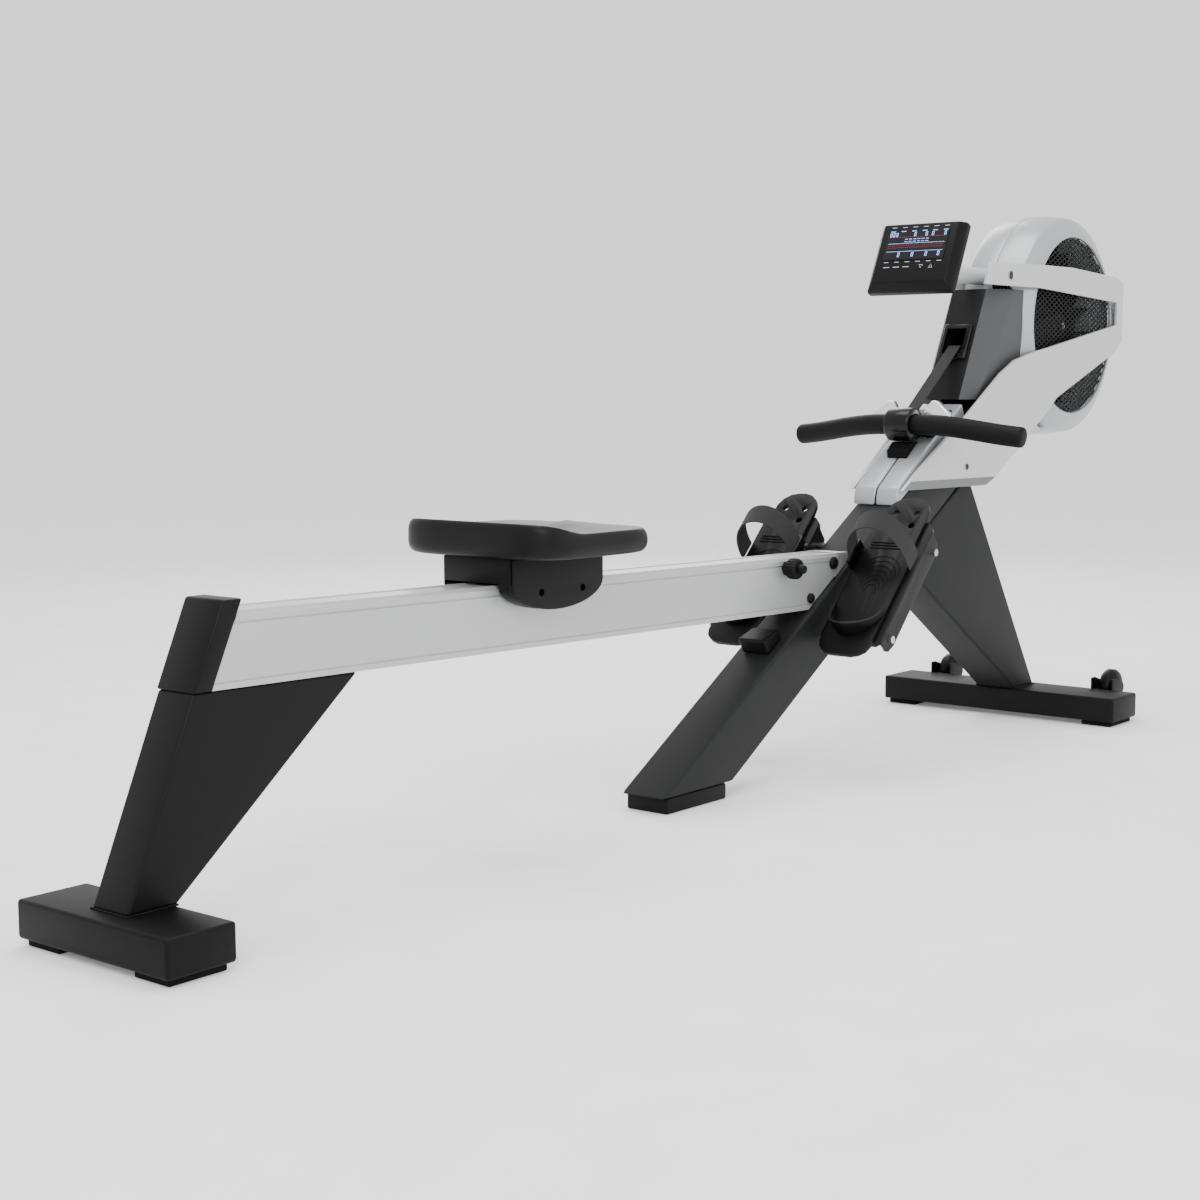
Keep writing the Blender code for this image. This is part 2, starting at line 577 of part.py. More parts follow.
def fan_wheel(plastic):
    """Bladed fan with its belt pulley on one end of the hub."""
    hub = [(0.0066, -0.036), (0.022, -0.036), (0.024, -0.010), (0.024, 0.016), (0.0150, 0.020)]
    hub += [(0.0150, 0.0225), (0.0195, 0.0235), (PULLEY_R - 0.0015, 0.0245), (PULLEY_R - 0.0015, 0.0345)]
    hub += [(0.0195, 0.0355), (0.0195, 0.0370), (0.0066, 0.0370)]
    wheel = turned("fan_wheel", hub, FAN, plastic, 48)
    disc = [(0.020, -0.0020), (FAN_R, -0.0020), (FAN_R, 0.0010), (0.020, 0.0010)]
    boolean(wheel, turned("fan_wheel.disc", disc, FAN, None, 48), "UNION")
    blades = 20
    bm = bmesh.new()
    for i in range(blades):
        a = 2 * math.pi * i / blades
        corners = []
        for radius, lean in ((0.060, 0.00), (FAN_R - 0.003, 0.26)):
            for thick in (-0.0011, 0.0011):
                angle = a + lean + thick / radius
                corners.append((FAN[0] + radius * math.cos(angle), FAN[1] + radius * math.sin(angle)))
        ring = [corners[0], corners[2], corners[3], corners[1]]
        low = [bm.verts.new((x, -0.034, z)) for x, z in ring]
        high = [bm.verts.new((x, 0.018, z)) for x, z in ring]
        bm.faces.new(low)
        bm.faces.new(high)
        for k in range(4):
            m = (k + 1) % 4
            bm.faces.new((low[k], low[m], high[m], high[k]))
    boolean(wheel, finish("fan_wheel.blades", bm, None), "UNION")
    for mod in wheel.modifiers:
        mod.solver = "MANIFOLD"


def strap_drum(plastic):
    """Drum that winds the strap, with its shaft and the wheel that drives the belt."""
    profile = [(0, -0.0500), (0.0060, -0.0500), (0.0060, -0.0215), (0.0310, -0.0210), (0.0310, -0.0160)]
    profile += [(DRUM_R - 0.0060, -0.0150), (DRUM_R - 0.0060, 0.0150), (0.0310, 0.0160), (0.0310, 0.0200)]
    profile += [(0.0200, 0.0205), (0.0200, 0.0230), (0.0350, 0.0240), (DRIVE_R - 0.0015, 0.0250)]
    profile += [(DRIVE_R - 0.0015, 0.0345), (0.0350, 0.0355), (0.0350, 0.0370), (0.0060, 0.0372)]
    profile += [(0.0060, 0.0500), (0, 0.0500)]
    turned("strap_drum", profile, DRUM, plastic, 40)


def belt(rubber):
    """Poly-V belt round the drum's wheel and the fan's pulley."""
    run = Vector((FAN[0] - DRUM[0], FAN[1] - DRUM[1]))
    heading = math.degrees(math.atan2(run.y, run.x))
    spread = math.degrees(math.asin((DRIVE_R - PULLEY_R) / run.length))
    loops = []
    for extra in (0.0022, GAP):
        big = arc(DRUM, DRIVE_R + extra, heading + 90 - spread, heading + 270 + spread, 16)
        small = arc(FAN, PULLEY_R + extra, heading - 90 + spread, heading + 90 - spread, 12)
        loops.append(big + small)
    bm = bmesh.new()
    rings = []
    for loop, y in ((loops[0], 0.0255), (loops[0], 0.0340), (loops[1], 0.0340), (loops[1], 0.0255)):
        rings.append([bm.verts.new((x, y, z)) for x, z in loop])
    count = len(loops[0])
    for k in range(4):
        first, second = rings[k], rings[(k + 1) % 4]
        for i in range(count):
            j = (i + 1) % count
            bm.faces.new((first[i], first[j], second[j], second[i]))
    finish("drive_belt", bm, rubber)


def handle(foam, plastic, webbing):
    x, z = HANDLE
    points = [(0.5100, -0.2300, 0.5530), (0.5075, -0.2050, 0.5555), (0.4890, -0.0800, 0.5740), (x, -0.0300, z)]
    points += [(px, -py, pz) for px, py, pz in reversed(points)]
    bar = sweep("handle_bar", points, GRIP_R, foam, 5)
    bar.data.resolution_u = 5
    ring = [(GRIP_R + 0.0008, -0.0250), (0.0285, -0.0250), (0.0300, -0.0225), (0.0300, 0.0225)]
    ring += [(0.0285, 0.0250), (GRIP_R + 0.0008, 0.0250)]
    turned("handle_collar", ring, HANDLE, plastic, 40)
    head = Vector((OUTLET[0] - x, OUTLET[1] - z))
    length = head.length
    along = head / length
    across = Vector((-along.y, along.x))

    def strap_point(distance, above):
        place = Vector((x, z)) + along * distance + across * above
        return (place.x, place.y)

    start = 0.0305
    end = length - 0.0080
    ribbon = [strap_point(start, -0.0009), strap_point(end, -0.0009), strap_point(end, 0.0009), strap_point(start, 0.0009)]
    prism("pull_strap", ribbon, -0.0125, 0.0125, webbing)


def monitor(plastic, silver, glass):
    """Console on an arm; it tilts about the pin at the end of the arm."""
    s, c = math.sin(MONITOR_TILT), math.cos(MONITOR_TILT)

    def spot(depth, side, up):
        """depth runs back from the screen, up runs along it."""
        x = MONITOR_CENTRE[0] + depth * c + up * s
        z = MONITOR_CENTRE[1] - depth * s + up * c
        return (x, side, z)

    bm = bmesh.new()
    rings = []
    for depth, half_side, low, high in ((0.0, 0.0745, -0.0570, 0.0600), (0.014, 0.0870, -0.0700, 0.0640), (0.027, 0.0870, -0.0700, 0.0640)):
        ring = [(-half_side, low), (half_side, low), (half_side, high), (-half_side, high)]
        rings.append([bm.verts.new(spot(depth, a, b)) for a, b in ring])
    for first, second in zip(rings, rings[1:]):
        for i in range(4):
            j = (i + 1) % 4
            bm.faces.new((first[i], first[j], second[j], second[i]))
    bm.faces.new(rings[0])
    bm.faces.new(rings[-1])
    case = finish("monitor_case", bm, plastic)
    bevel(case, 0.003, 2, 25)

    def panel(name, depth, half_side, low, high, mat):
        bm = bmesh.new()
        rings = []
        for d in depth:
            corners = [(-half_side, low), (half_side, low), (half_side, high), (-half_side, high)]
            rings.append([bm.verts.new(spot(d, a, b)) for a, b in corners])
        for i in range(4):
            j = (i + 1) % 4
            bm.faces.new((rings[0][i], rings[0][j], rings[1][j], rings[1][i]))
        bm.faces.new(rings[0])
        bm.faces.new(rings[-1])
        return finish(name, bm, mat)

    back = panel("monitor_back", (0.0273, 0.0335), 0.0810, -0.0640, 0.0590, silver)
    for side in (-1, 1):
        ear = [spot(0.0300, 0, -0.0200)[::2], *arc(TILT_AXIS, 0.0095, -95, 65, 8), spot(0.0300, 0, 0.0050)[::2]]
        ys = sorted((side * 0.0100, side * 0.0140))
        boolean(back, prism("monitor_back.ear", ear, ys[0], ys[1], None), "UNION")
    boolean(back, rod("monitor_back.pin_hole", TILT_AXIS, 0.0043, -0.03, 0.03, None, 20))
    panel("monitor_screen", (-0.0012, -GAP), 0.0560, -0.0060, 0.0480, glass)

    eye = arc(TILT_AXIS, 0.0085, 40, 320, 14) + [(0.5900, TUBE_Z - 0.0065), (0.5900, TUBE_Z + 0.0065)]
    arm = prism("monitor_arm", eye, -0.0096, 0.0096, silver)
    bm = bmesh.new()
    rings = []
    for x in (0.5880, 0.7900):
        ring = []
        for i in range(28):
            a = 2 * math.pi * i / 28
            ring.append(bm.verts.new((x, TUBE_R * math.cos(a), TUBE_Z + TUBE_R * math.sin(a))))
        rings.append(ring)
    for i in range(28):
        j = (i + 1) % 28
        bm.faces.new((rings[0][i], rings[0][j], rings[1][j], rings[1][i]))
    bm.faces.new(rings[0])
    bm.faces.new(rings[1])
    boolean(arm, finish("monitor_arm.tube", bm, None), "UNION")
    boolean(arm, rod("monitor_arm.pin", TILT_AXIS, 0.0040, -0.0160, 0.0160, None, 20), "UNION")
    foot = box("monitor_arm.foot", (0.770, 0.790), (-0.014, 0.014), (0.8229, 0.840), None)
    return boolean(arm, foot, "UNION")


def rest_pieces(side, sign, plastic, webbing):
    """One foot rest, drawn lying flat from its heel end and then stood up at its angle."""
    base, helpers = foot_holders(side, sign, plastic)
    sole, more = foot_plate(side, plastic)
    for obj in [base, sole, foot_band(side, webbing)] + helpers + more:
        obj.rotation_euler = (0.0, -REST_ANGLE, 0.0)
        obj.location = (REST_ORIGIN[0], sign * REST_Y, REST_ORIGIN[1])


def circle(count):
    return [2 * math.pi * i / count for i in range(count)]


def rest_point(along, above):
    """A point by its distance up a foot rest and its height over the foot rest's plane."""
    c, s = math.cos(REST_ANGLE), math.sin(REST_ANGLE)
    return (REST_ORIGIN[0] + along * c - above * s, REST_ORIGIN[1] + along * s + above * c)


def seat_cushion(cushion):
    low, high = PAD_Z
    bm = bmesh.new()
    centre = SEAT_X + PAD_SHIFT
    rings = []
    for inset_by, z in ((0.004, low), (0.0, low + 0.004), (0.0, low + 0.030), (0.006, high - 0.006), (0.020, high)):
        ring = []
        radius = 0.060 - inset_by
        for corner in range(4):
            sx, sy = ((1, 1), (-1, 1), (-1, -1), (1, -1))[corner]
            for i in range(7):
                a = math.radians(90 * corner + 15 * i)
                x = centre + sx * (PAD_HALF_X - 0.060) + radius * math.cos(a)
                y = sy * (PAD_HALF_Y - 0.060) + radius * math.sin(a)
                ring.append(bm.verts.new((x, y, z)))
        rings.append(ring)
    count = len(rings[0])
    for first, second in zip(rings, rings[1:]):
        for i in range(count):
            j = (i + 1) % count
            bm.faces.new((first[i], first[j], second[j], second[i]))
    bm.faces.new(rings[0])
    bm.faces.new(rings[-1])
    finish("seat_pad", bm, cushion)


def arm_plan(inset_by):
    """Half of the arms' plan, from the rear end to the middle of the nose."""
    places = [(0.380, 0.0560 - inset_by), (0.450, 0.0560 - inset_by), (0.880, 0.0880 - inset_by)]
    radius = 0.055 - inset_by
    places += [(1.195, 0.090 - inset_by)]
    for step in range(1, 9):
        a = math.radians(90 - 90 * step / 8)
        front = radius if inset_by == 0 else 0.0370
        places.append((1.195 + front * math.cos(a), 0.035 + radius * math.sin(a)))
    places.append((places[-1][0], GAP))
    return places


def foot_holders(side, sign, plastic):
    """Fixed base of a foot rest with its side ribs, which hang on the two rods."""
    outline = [(0.040, -0.0575), (0.270, -0.0575), (0.285, -0.0500), (0.290, -0.0400), (0.290, 0.0400)]
    outline += [(0.285, 0.0500), (0.270, 0.0575), (0.040, 0.0575), (0.032, 0.0480), (0.032, -0.0480)]
    bm = bmesh.new()
    low = [bm.verts.new((x, y, -0.0160)) for x, y in outline]
    high = [bm.verts.new((x, y, -0.0058)) for x, y in outline]
    bm.faces.new(low)
    bm.faces.new(high)
    for i in range(len(outline)):
        j = (i + 1) % len(outline)
        bm.faces.new((low[i], low[j], high[j], high[i]))
    base = finish("foot_base_" + side, bm, plastic)
    helpers = []
    for y in (-0.0530, 0.0530):
        rib = prism("foot_base_%s.rib" % side, [(0.042, -0.040), (0.060, -0.046), (0.255, -0.046), (0.268, -0.040), (0.272, -0.014), (0.042, -0.014)], y - 0.004, y + 0.004, None)
        boolean(base, rib, "UNION")
        helpers.append(rib)
    for along, above in ROD_PLACES:
        hole = rod("foot_base_%s.rod_hole" % side, (along, above), ROD_R + GAP, -0.07, 0.07, None, 24)
        boolean(base, hole)
        helpers.append(hole)
    y_slot = sign * 0.0525
    return base, helpers


def foot_plate(side, plastic):
    """The plate the foot rests on, with its heel cup; it slides up and down the base to suit the foot."""
    plate = [(0.020, -0.0485), (0.006, -0.0380), (0.0, -0.0200), (0.0, 0.0200), (0.006, 0.0380), (0.020, 0.0485)]
    plate += [(0.200, 0.0495), (0.225, 0.0440), (0.305, 0.0420), (0.325, 0.0320), (0.335, 0.0140)]
    plate += [(0.335, -0.0140), (0.325, -0.0320), (0.305, -0.0420), (0.225, -0.0440), (0.200, -0.0495)]
    bm = bmesh.new()
    low = [bm.verts.new((x, y, -0.0055)) for x, y in plate]
    high = [bm.verts.new((x, y, 0.0040)) for x, y in plate]
    bm.faces.new(low)
    bm.faces.new(high)
    for i in range(len(plate)):
        j = (i + 1) % len(plate)
        bm.faces.new((low[i], low[j], high[j], high[i]))
    sole = finish("footplate_" + side, bm, plastic)
    bm = bmesh.new()
    rings = []
    for i in range(13):
        a = math.radians(-80 + 160 * i / 12)
        inner = (0.100 - 0.060 * math.cos(a), 0.0450 * math.sin(a))
        outer = (0.100 - 0.065 * math.cos(a), 0.0490 * math.sin(a))
        tall = 0.010 + 0.028 * math.cos(a) ** 2
        ring = [(*inner, 0.001), (*outer, 0.001), (*outer, tall), (*inner, tall)]
        rings.append([bm.verts.new(place) for place in ring])
    for first, second in zip(rings, rings[1:]):
        for k in range(4):
            m = (k + 1) % 4
            bm.faces.new((first[k], first[m], second[m], second[k]))
    bm.faces.new(rings[0])
    bm.faces.new(rings[-1])
    heel = finish("footplate_%s.heel" % side, bm, None)
    boolean(sole, heel, "UNION")
    helpers = [heel]
    for x in (0.274, 0.300):
        for y in (-0.020, 0.020):
            bm = bmesh.new()
            rings = []
            for height in (-0.02, 0.02):
                rings.append([bm.verts.new((x + 0.0055 * math.cos(t), y + 0.0055 * math.sin(t), height)) for t in circle(14)])
            bm.faces.new(rings[0])
            bm.faces.new(rings[1])
            for i in range(14):
                j = (i + 1) % 14
                bm.faces.new((rings[0][i], rings[0][j], rings[1][j], rings[1][i]))
            hole = finish("footplate_%s.hole" % side, bm, None)
            boolean(sole, hole)
            helpers.append(hole)
    return sole, helpers


def foot_band(side, webbing):
    """Webbing strap arched over the foot."""
    bm = bmesh.new()
    rings = []
    for i in range(17):
        a = math.pi * i / 16
        y = -0.0560 * math.cos(a)
        height = 0.0820 * math.sin(a) ** 0.7 if 0 < i < 16 else 0.0
        x = 0.200 + 0.020 * math.sin(a)
        inner_y = y * 0.954
        inner_h = max(height - 0.0026, 0.0)
        ring = [(x - 0.018, y, height), (x + 0.018, y, height), (x + 0.018, inner_y, inner_h), (x - 0.018, inner_y, inner_h)]
        if i in (0, 16):
            ring = [(px, py, -0.0055) for px, py, _ in ring]
        rings.append([bm.verts.new(place) for place in ring])
    for first, second in zip(rings, rings[1:]):
        for k in range(4):
            m = (k + 1) % 4
            bm.faces.new((first[k], first[m], second[m], second[k]))
    bm.faces.new(rings[0])
    bm.faces.new(rings[-1])
    return finish("foot_strap_" + side, bm, webbing)


def foot_rods(steel):
    for name, place in zip(("foot_rod_lower", "foot_rod_upper"), ROD_PLACES):
        rod(name, rest_point(*place), ROD_R, -0.175, 0.175, steel, 24)


def main():
    clear_scene()
    charcoal = material("charcoal_paint", (0.045, 0.047, 0.050), 0.45)
    black_paint = material("black_paint", (0.016, 0.016, 0.017), 0.45)
    rubber = material("rubber", (0.020, 0.020, 0.021), 0.80)
    plastic = material("black_plastic", (0.017, 0.017, 0.018), 0.50)
    alloy = material("silver_alloy", (0.60, 0.60, 0.61), 0.38, 0.6)
    silver = material("silver_white_shell", (0.72, 0.72, 0.73), 0.35)
    shroud_grey = material("shroud_grey", (0.050, 0.050, 0.053), 0.45)
    cushion = material("seat_foam", (0.018, 0.018, 0.019), 0.55)
    foam = material("grip_foam", (0.020, 0.020, 0.021), 0.85)
    webbing = material("webbing", (0.018, 0.018, 0.019), 0.90)
    steel = material("steel", (0.45, 0.45, 0.46), 0.35, 1.0)
    fan_plastic = material("fan_plastic", (0.030, 0.030, 0.032), 0.50)
    glass = material("screen_glass", (0.010, 0.010, 0.020), 0.10)

    feet(black_paint, rubber)
    post(charcoal, rubber)
    front_leg(charcoal)
    rear_leg(black_paint)
    transport_wheels(plastic)
    rail(alloy, plastic, black_paint)
    fold_mount(alloy, black_paint)
    lock_knob(plastic)
    seat(plastic, cushion)
    lower_cover(silver)
    cradle(plastic, rubber)
    side_arm("side_arm_left", 1, silver)
    side_arm("side_arm_right", -1, silver)
    fan_housing(silver, fan_plastic)
    shroud(shroud_grey, plastic, rubber)
    belly_cover(silver)
    axle_plates(black_paint, steel)
    fan_wheel(fan_plastic)
    strap_drum(plastic)
    belt(rubber)
    handle(foam, plastic, webbing)
    monitor(plastic, silver, glass)
    foot_rods(steel)
    rest_pieces("left", 1, plastic, webbing)
    rest_pieces("right", -1, plastic, webbing)


main()
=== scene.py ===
import json
import math

import bmesh
import bpy
from mathutils import Matrix, Vector

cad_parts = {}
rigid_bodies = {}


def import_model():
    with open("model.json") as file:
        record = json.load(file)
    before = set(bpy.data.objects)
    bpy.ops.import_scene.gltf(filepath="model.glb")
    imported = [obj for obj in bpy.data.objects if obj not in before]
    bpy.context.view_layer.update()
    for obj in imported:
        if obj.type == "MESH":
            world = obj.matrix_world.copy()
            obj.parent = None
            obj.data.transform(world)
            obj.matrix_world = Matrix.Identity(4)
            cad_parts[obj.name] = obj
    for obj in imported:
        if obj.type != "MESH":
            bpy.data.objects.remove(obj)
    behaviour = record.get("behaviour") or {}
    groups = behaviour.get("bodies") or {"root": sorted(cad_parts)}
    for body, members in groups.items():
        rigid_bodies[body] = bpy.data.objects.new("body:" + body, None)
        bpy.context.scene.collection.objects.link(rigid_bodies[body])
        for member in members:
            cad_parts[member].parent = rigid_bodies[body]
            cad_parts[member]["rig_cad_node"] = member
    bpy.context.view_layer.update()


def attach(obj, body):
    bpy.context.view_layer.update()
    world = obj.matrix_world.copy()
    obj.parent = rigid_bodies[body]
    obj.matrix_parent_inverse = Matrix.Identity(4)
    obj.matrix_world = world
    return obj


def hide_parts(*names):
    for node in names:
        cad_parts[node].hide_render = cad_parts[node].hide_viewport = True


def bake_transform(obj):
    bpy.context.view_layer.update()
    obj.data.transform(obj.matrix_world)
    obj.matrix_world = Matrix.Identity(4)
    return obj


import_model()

# ------------------------------------------------------------------ camera, light and world
scene = bpy.context.scene
eye = bpy.data.cameras.new("camera")
eye.lens = 57.464
eye.sensor_width = 36.0
eye.shift_x = -0.04268
eye.shift_y = 0.00533
camera = bpy.data.objects.new("camera", eye)
scene.collection.objects.link(camera)
camera.location = (-2.49383, -1.75887, 0.63600)
camera.rotation_euler = (math.radians(83.5438), 0.0, math.radians(-52.0395))
scene.camera = camera


def lamp(name, place, aim, power, size, colour=(1, 1, 1)):
    data = bpy.data.lights.new(name, "AREA")
    data.energy = power
    data.size = size
    data.color = colour
    obj = bpy.data.objects.new(name, data)
    scene.collection.objects.link(obj)
    obj.location = place
    obj.rotation_euler = (Vector(aim) - Vector(place)).to_track_quat("-Z", "Y").to_euler()
    return obj


lamp("key", (-3.4, -2.0, 3.0), (0, 0, 0.4), 105, 2.0)
lamp("fill", (0.8, -3.6, 1.8), (0.5, 0, 0.5), 36, 2.4)
lamp("top", (0.2, 0.4, 3.6), (0, 0, 0.3), 75, 2.2)
lamp("back", (2.6, 2.2, 2.2), (0.4, 0, 0.5), 40, 1.8)

world = bpy.data.worlds.new("world")
world.use_nodes = True
world.node_tree.nodes["Background"].inputs["Color"].default_value = (1.0, 1.0, 1.0, 1.0)
world.node_tree.nodes["Background"].inputs["Strength"].default_value = 1.35
scene.world = world


# ------------------------------------------------------------------ materials
def shade(
    name, colour, rough=0.5, metal=0.0, grain=0.0, bump=0.0, vary=0.05, coat=0.0, stretch=None, cells=False,
    gleam=0.5
):
    """A surface with fine grain, a little unevenness in its sheen, and wear-sized variation in its colour."""
    mat = bpy.data.materials.new(name)
    mat.use_nodes = True
    tree = mat.node_tree
    node = tree.nodes["Principled BSDF"]
    node.inputs["Metallic"].default_value = metal
    node.inputs["Coat Weight"].default_value = coat
    node.inputs["Coat Roughness"].default_value = 0.12
    node.inputs["Specular IOR Level"].default_value = gleam
    where = tree.nodes.new("ShaderNodeTexCoord")
    scale = tree.nodes.new("ShaderNodeMapping")
    scale.inputs["Scale"].default_value = stretch or (1.0, 1.0, 1.0)
    tree.links.new(where.outputs["Object"], scale.inputs["Vector"])
    broad = tree.nodes.new("ShaderNodeTexNoise")
    broad.inputs["Scale"].default_value = 9.0
    broad.inputs["Detail"].default_value = 4.0
    tree.links.new(scale.outputs["Vector"], broad.inputs["Vector"])
    tone = tree.nodes.new("ShaderNodeMix")
    tone.data_type = "RGBA"
    tone.inputs["A"].default_value = (*[c * 0.93 for c in colour], 1.0)
    tone.inputs["B"].default_value = (*[min(c * 1.07, 1.0) for c in colour], 1.0)
    tree.links.new(broad.outputs["Fac"], tone.inputs["Factor"])
    tree.links.new(tone.outputs["Result"], node.inputs["Base Color"])
    span = tree.nodes.new("ShaderNodeMapRange")
    span.inputs["To Min"].default_value = max(rough - vary, 0.02)
    span.inputs["To Max"].default_value = min(rough + vary, 1.0)
    tree.links.new(broad.outputs["Fac"], span.inputs["Value"])
    tree.links.new(span.outputs["Result"], node.inputs["Roughness"])
    if grain:
        if cells:
            fine = tree.nodes.new("ShaderNodeTexVoronoi")
            fine.inputs["Scale"].default_value = grain
            height = fine.outputs["Distance"]
        else:
            fine = tree.nodes.new("ShaderNodeTexNoise")
            fine.inputs["Scale"].default_value = grain
            fine.inputs["Detail"].default_value = 3.0
            height = fine.outputs["Fac"]
        tree.links.new(scale.outputs["Vector"], fine.inputs["Vector"])
        relief = tree.nodes.new("ShaderNodeBump")
        relief.inputs["Strength"].default_value = bump
        relief.inputs["Distance"].default_value = 0.0006
        tree.links.new(height, relief.inputs["Height"])
        tree.links.new(relief.outputs["Normal"], node.inputs["Normal"])
    return mat


def woven(name, colour, pitch=0.0022):
    """Webbing with ribs across it."""
    mat = shade(name, colour, 0.85, grain=900.0, bump=0.25, vary=0.08)
    tree = mat.node_tree
    node = tree.nodes["Principled BSDF"]
    node.inputs["Sheen Weight"].default_value = 0.06
    where = tree.nodes.new("ShaderNodeUVMap")
    bands = tree.nodes.new("ShaderNodeTexWave")
    bands.inputs["Scale"].default_value = 0.0005 / pitch * 160
    bands.inputs["Distortion"].default_value = 0.4
    tree.links.new(where.outputs["UV"], bands.inputs["Vector"])
    relief = tree.nodes.new("ShaderNodeBump")
    relief.inputs["Strength"].default_value = 0.7
    relief.inputs["Distance"].default_value = 0.0008
    tree.links.new(bands.outputs["Fac"], relief.inputs["Height"])
    for link in list(node.inputs["Normal"].links):
        tree.links.new(link.from_socket, relief.inputs["Normal"])
    tree.links.new(relief.outputs["Normal"], node.inputs["Normal"])
    return mat


def lit(name, colour, strength):
    mat = shade(name, colour, 0.3)
    node = mat.node_tree.nodes["Principled BSDF"]
    node.inputs["Emission Color"].default_value = (*colour, 1.0)
    node.inputs["Emission Strength"].default_value = strength
    return mat


CHARCOAL = shade("charcoal_coat", (0.0105, 0.0108, 0.0115), 0.52, grain=1400, bump=0.18, gleam=0.16)
BLACK = shade("black_coat", (0.0026, 0.0026, 0.0028), 0.48, grain=1400, bump=0.18, gleam=0.12)
# A lighter copy of the black coat for the front foot's bar and the rear leg: painted light on parts that
# catch more of the lamps.
BLACK_PAINTED_LIGHT = shade("black_coat_painted_light", (0.0034, 0.0035, 0.0038), 0.50, grain=1400, bump=0.16, gleam=0.14)
PLASTIC = shade("black_plastic", (0.0024, 0.0024, 0.0026), 0.42, grain=1600, bump=0.12, gleam=0.14)
GLOSS = shade("gloss_plastic", (0.0016, 0.0016, 0.0018), 0.20, coat=0.10, gleam=0.20)
RUBBER = shade("rubber", (0.0040, 0.0040, 0.0042), 0.78, grain=1100, bump=0.3, gleam=0.10)
BRUSHED = (0.02, 1, 1)
ALLOY = shade("anodised_rail", (0.43, 0.435, 0.44), 0.36, metal=0.45, grain=420, bump=0.05, stretch=BRUSHED)
# A lighter copy of the rail's anodising for its upward-facing faces: painted light where the top faces the
# lamps.
ALLOY_PAINTED_TOP_LIGHT = shade(
    "anodised_rail_painted_top_light", (0.60, 0.60, 0.61), 0.30, metal=0.55, grain=420, bump=0.05, stretch=BRUSHED
)
SILVER = shade("silver_shell", (0.34, 0.348, 0.36), 0.33, metal=0.35, grain=2200, bump=0.05, coat=0.2)
SILVER_LIGHT = shade("silver_light", (0.50, 0.505, 0.515), 0.32, metal=0.20, grain=2200, bump=0.04, coat=0.2)
SILVER_EDGE = shade("silver_edge", (0.15, 0.153, 0.158), 0.40, metal=0.20, grain=2200, bump=0.04)
SHROUD = shade("shroud_front", (0.0085, 0.0085, 0.0092), 0.50, grain=1500, bump=0.2, gleam=0.16)
# A lighter copy of the shroud's plastic for its side facets: painted light, as these facets are the same
# plastic catching more light.
SHROUD_PAINTED_SIDE_LIGHT = shade("shroud_side_painted_light", (0.055, 0.056, 0.058), 0.46, grain=1500, bump=0.2, gleam=0.25)
SKIN = shade("seat_skin", (0.0026, 0.0026, 0.0028), 0.40, grain=620, bump=0.35, cells=True, gleam=0.16)
FOAM = shade("grip_foam", (0.0030, 0.0030, 0.0032), 0.58, grain=1300, bump=0.4, gleam=0.14)
WEB = woven("webbing", (0.0030, 0.0030, 0.0032))
STEEL = shade("bright_steel", (0.55, 0.55, 0.56), 0.28, metal=1.0, grain=900, bump=0.05)
CHROME = shade("bright_horn", (0.80, 0.80, 0.82), 0.16, metal=0.9)
MESH_GREY = shade("mesh_strands", (0.014, 0.0145, 0.0155), 0.46, metal=0.2, grain=2500, bump=0.1, gleam=0.25)
FAN_DARK = shade("fan_dark", (0.0025, 0.0025, 0.0028), 0.55, grain=900, bump=0.1, gleam=0.2)
SCREEN = shade("screen_face", (0.0015, 0.0020, 0.0050), 0.22, coat=0.1, gleam=0.25)
DIGIT = lit("screen_digit", (0.35, 0.52, 1.0), 1.1)
DIGIT_RED = lit("screen_line", (0.35, 0.03, 0.04), 0.16)
PRINT = shade("panel_print", (0.45, 0.46, 0.48), 0.5)


# ------------------------------------------------------------------ building
def linked(name, bm, mat, angle=32.0):
    bmesh.ops.recalc_face_normals(bm, faces=bm.faces)
    mesh = bpy.data.meshes.new(name)
    bm.to_mesh(mesh)
    bm.free()
    obj = bpy.data.objects.new(name, mesh)
    scene.collection.objects.link(obj)
    if mat:
        mesh.materials.append(mat)
    return smooth(obj, angle)


def smooth(obj, angle=32.0):
    for face in obj.data.polygons:
        face.use_smooth = True
    obj.data.set_sharp_from_angle(angle=math.radians(angle))
    return obj


def settle(obj, angle=32.0):
    """Applies the modifiers."""
    bpy.context.view_layer.update()
    graph = bpy.context.evaluated_depsgraph_get()
    made = bpy.data.meshes.new_from_object(obj.evaluated_get(graph))
    obj.modifiers.clear()
    obj.data = made
    return smooth(obj, angle)


def rounded(obj, width, segments=3, angle=30.0):
    mod = obj.modifiers.new("bevel", "BEVEL")
    mod.width = width
    mod.segments = segments
    mod.limit_method = "ANGLE"
    mod.angle_limit = math.radians(angle)
    mod.harden_normals = False
    return settle(obj, 40.0)


def cut(obj, other, operation="DIFFERENCE"):
    mod = obj.modifiers.new("cut", "BOOLEAN")
    mod.operation = operation
    mod.object = other
    settle(obj)
    bpy.data.objects.remove(other, do_unlink=True)
    return obj


def loft(name, rings, mat, ends=True, around=True, angle=32.0):
    bm = bmesh.new()
    rows = [[bm.verts.new(p) for p in ring] for ring in rings]
    count = len(rings[0])
    for first, second in zip(rows, rows[1:]):
        for i in range(count if around else count - 1):
            j = (i + 1) % count
            bm.faces.new((first[i], first[j], second[j], second[i]))
    if ends:
        bm.faces.new(rows[0])
        bm.faces.new(rows[-1])
    return linked(name, bm, mat, angle)


def prism(name, outline, y0, y1, mat, width=0.0):
    obj = loft(name, [[(x, y, z) for x, z in outline] for y in (y0, y1)], mat)
    return rounded(obj, width) if width else obj


def block(name, x, y, z, mat, width=0.0):
    return prism(name, [(x[0], z[0]), (x[1], z[0]), (x[1], z[1]), (x[0], z[1])], y[0], y[1], mat, width)


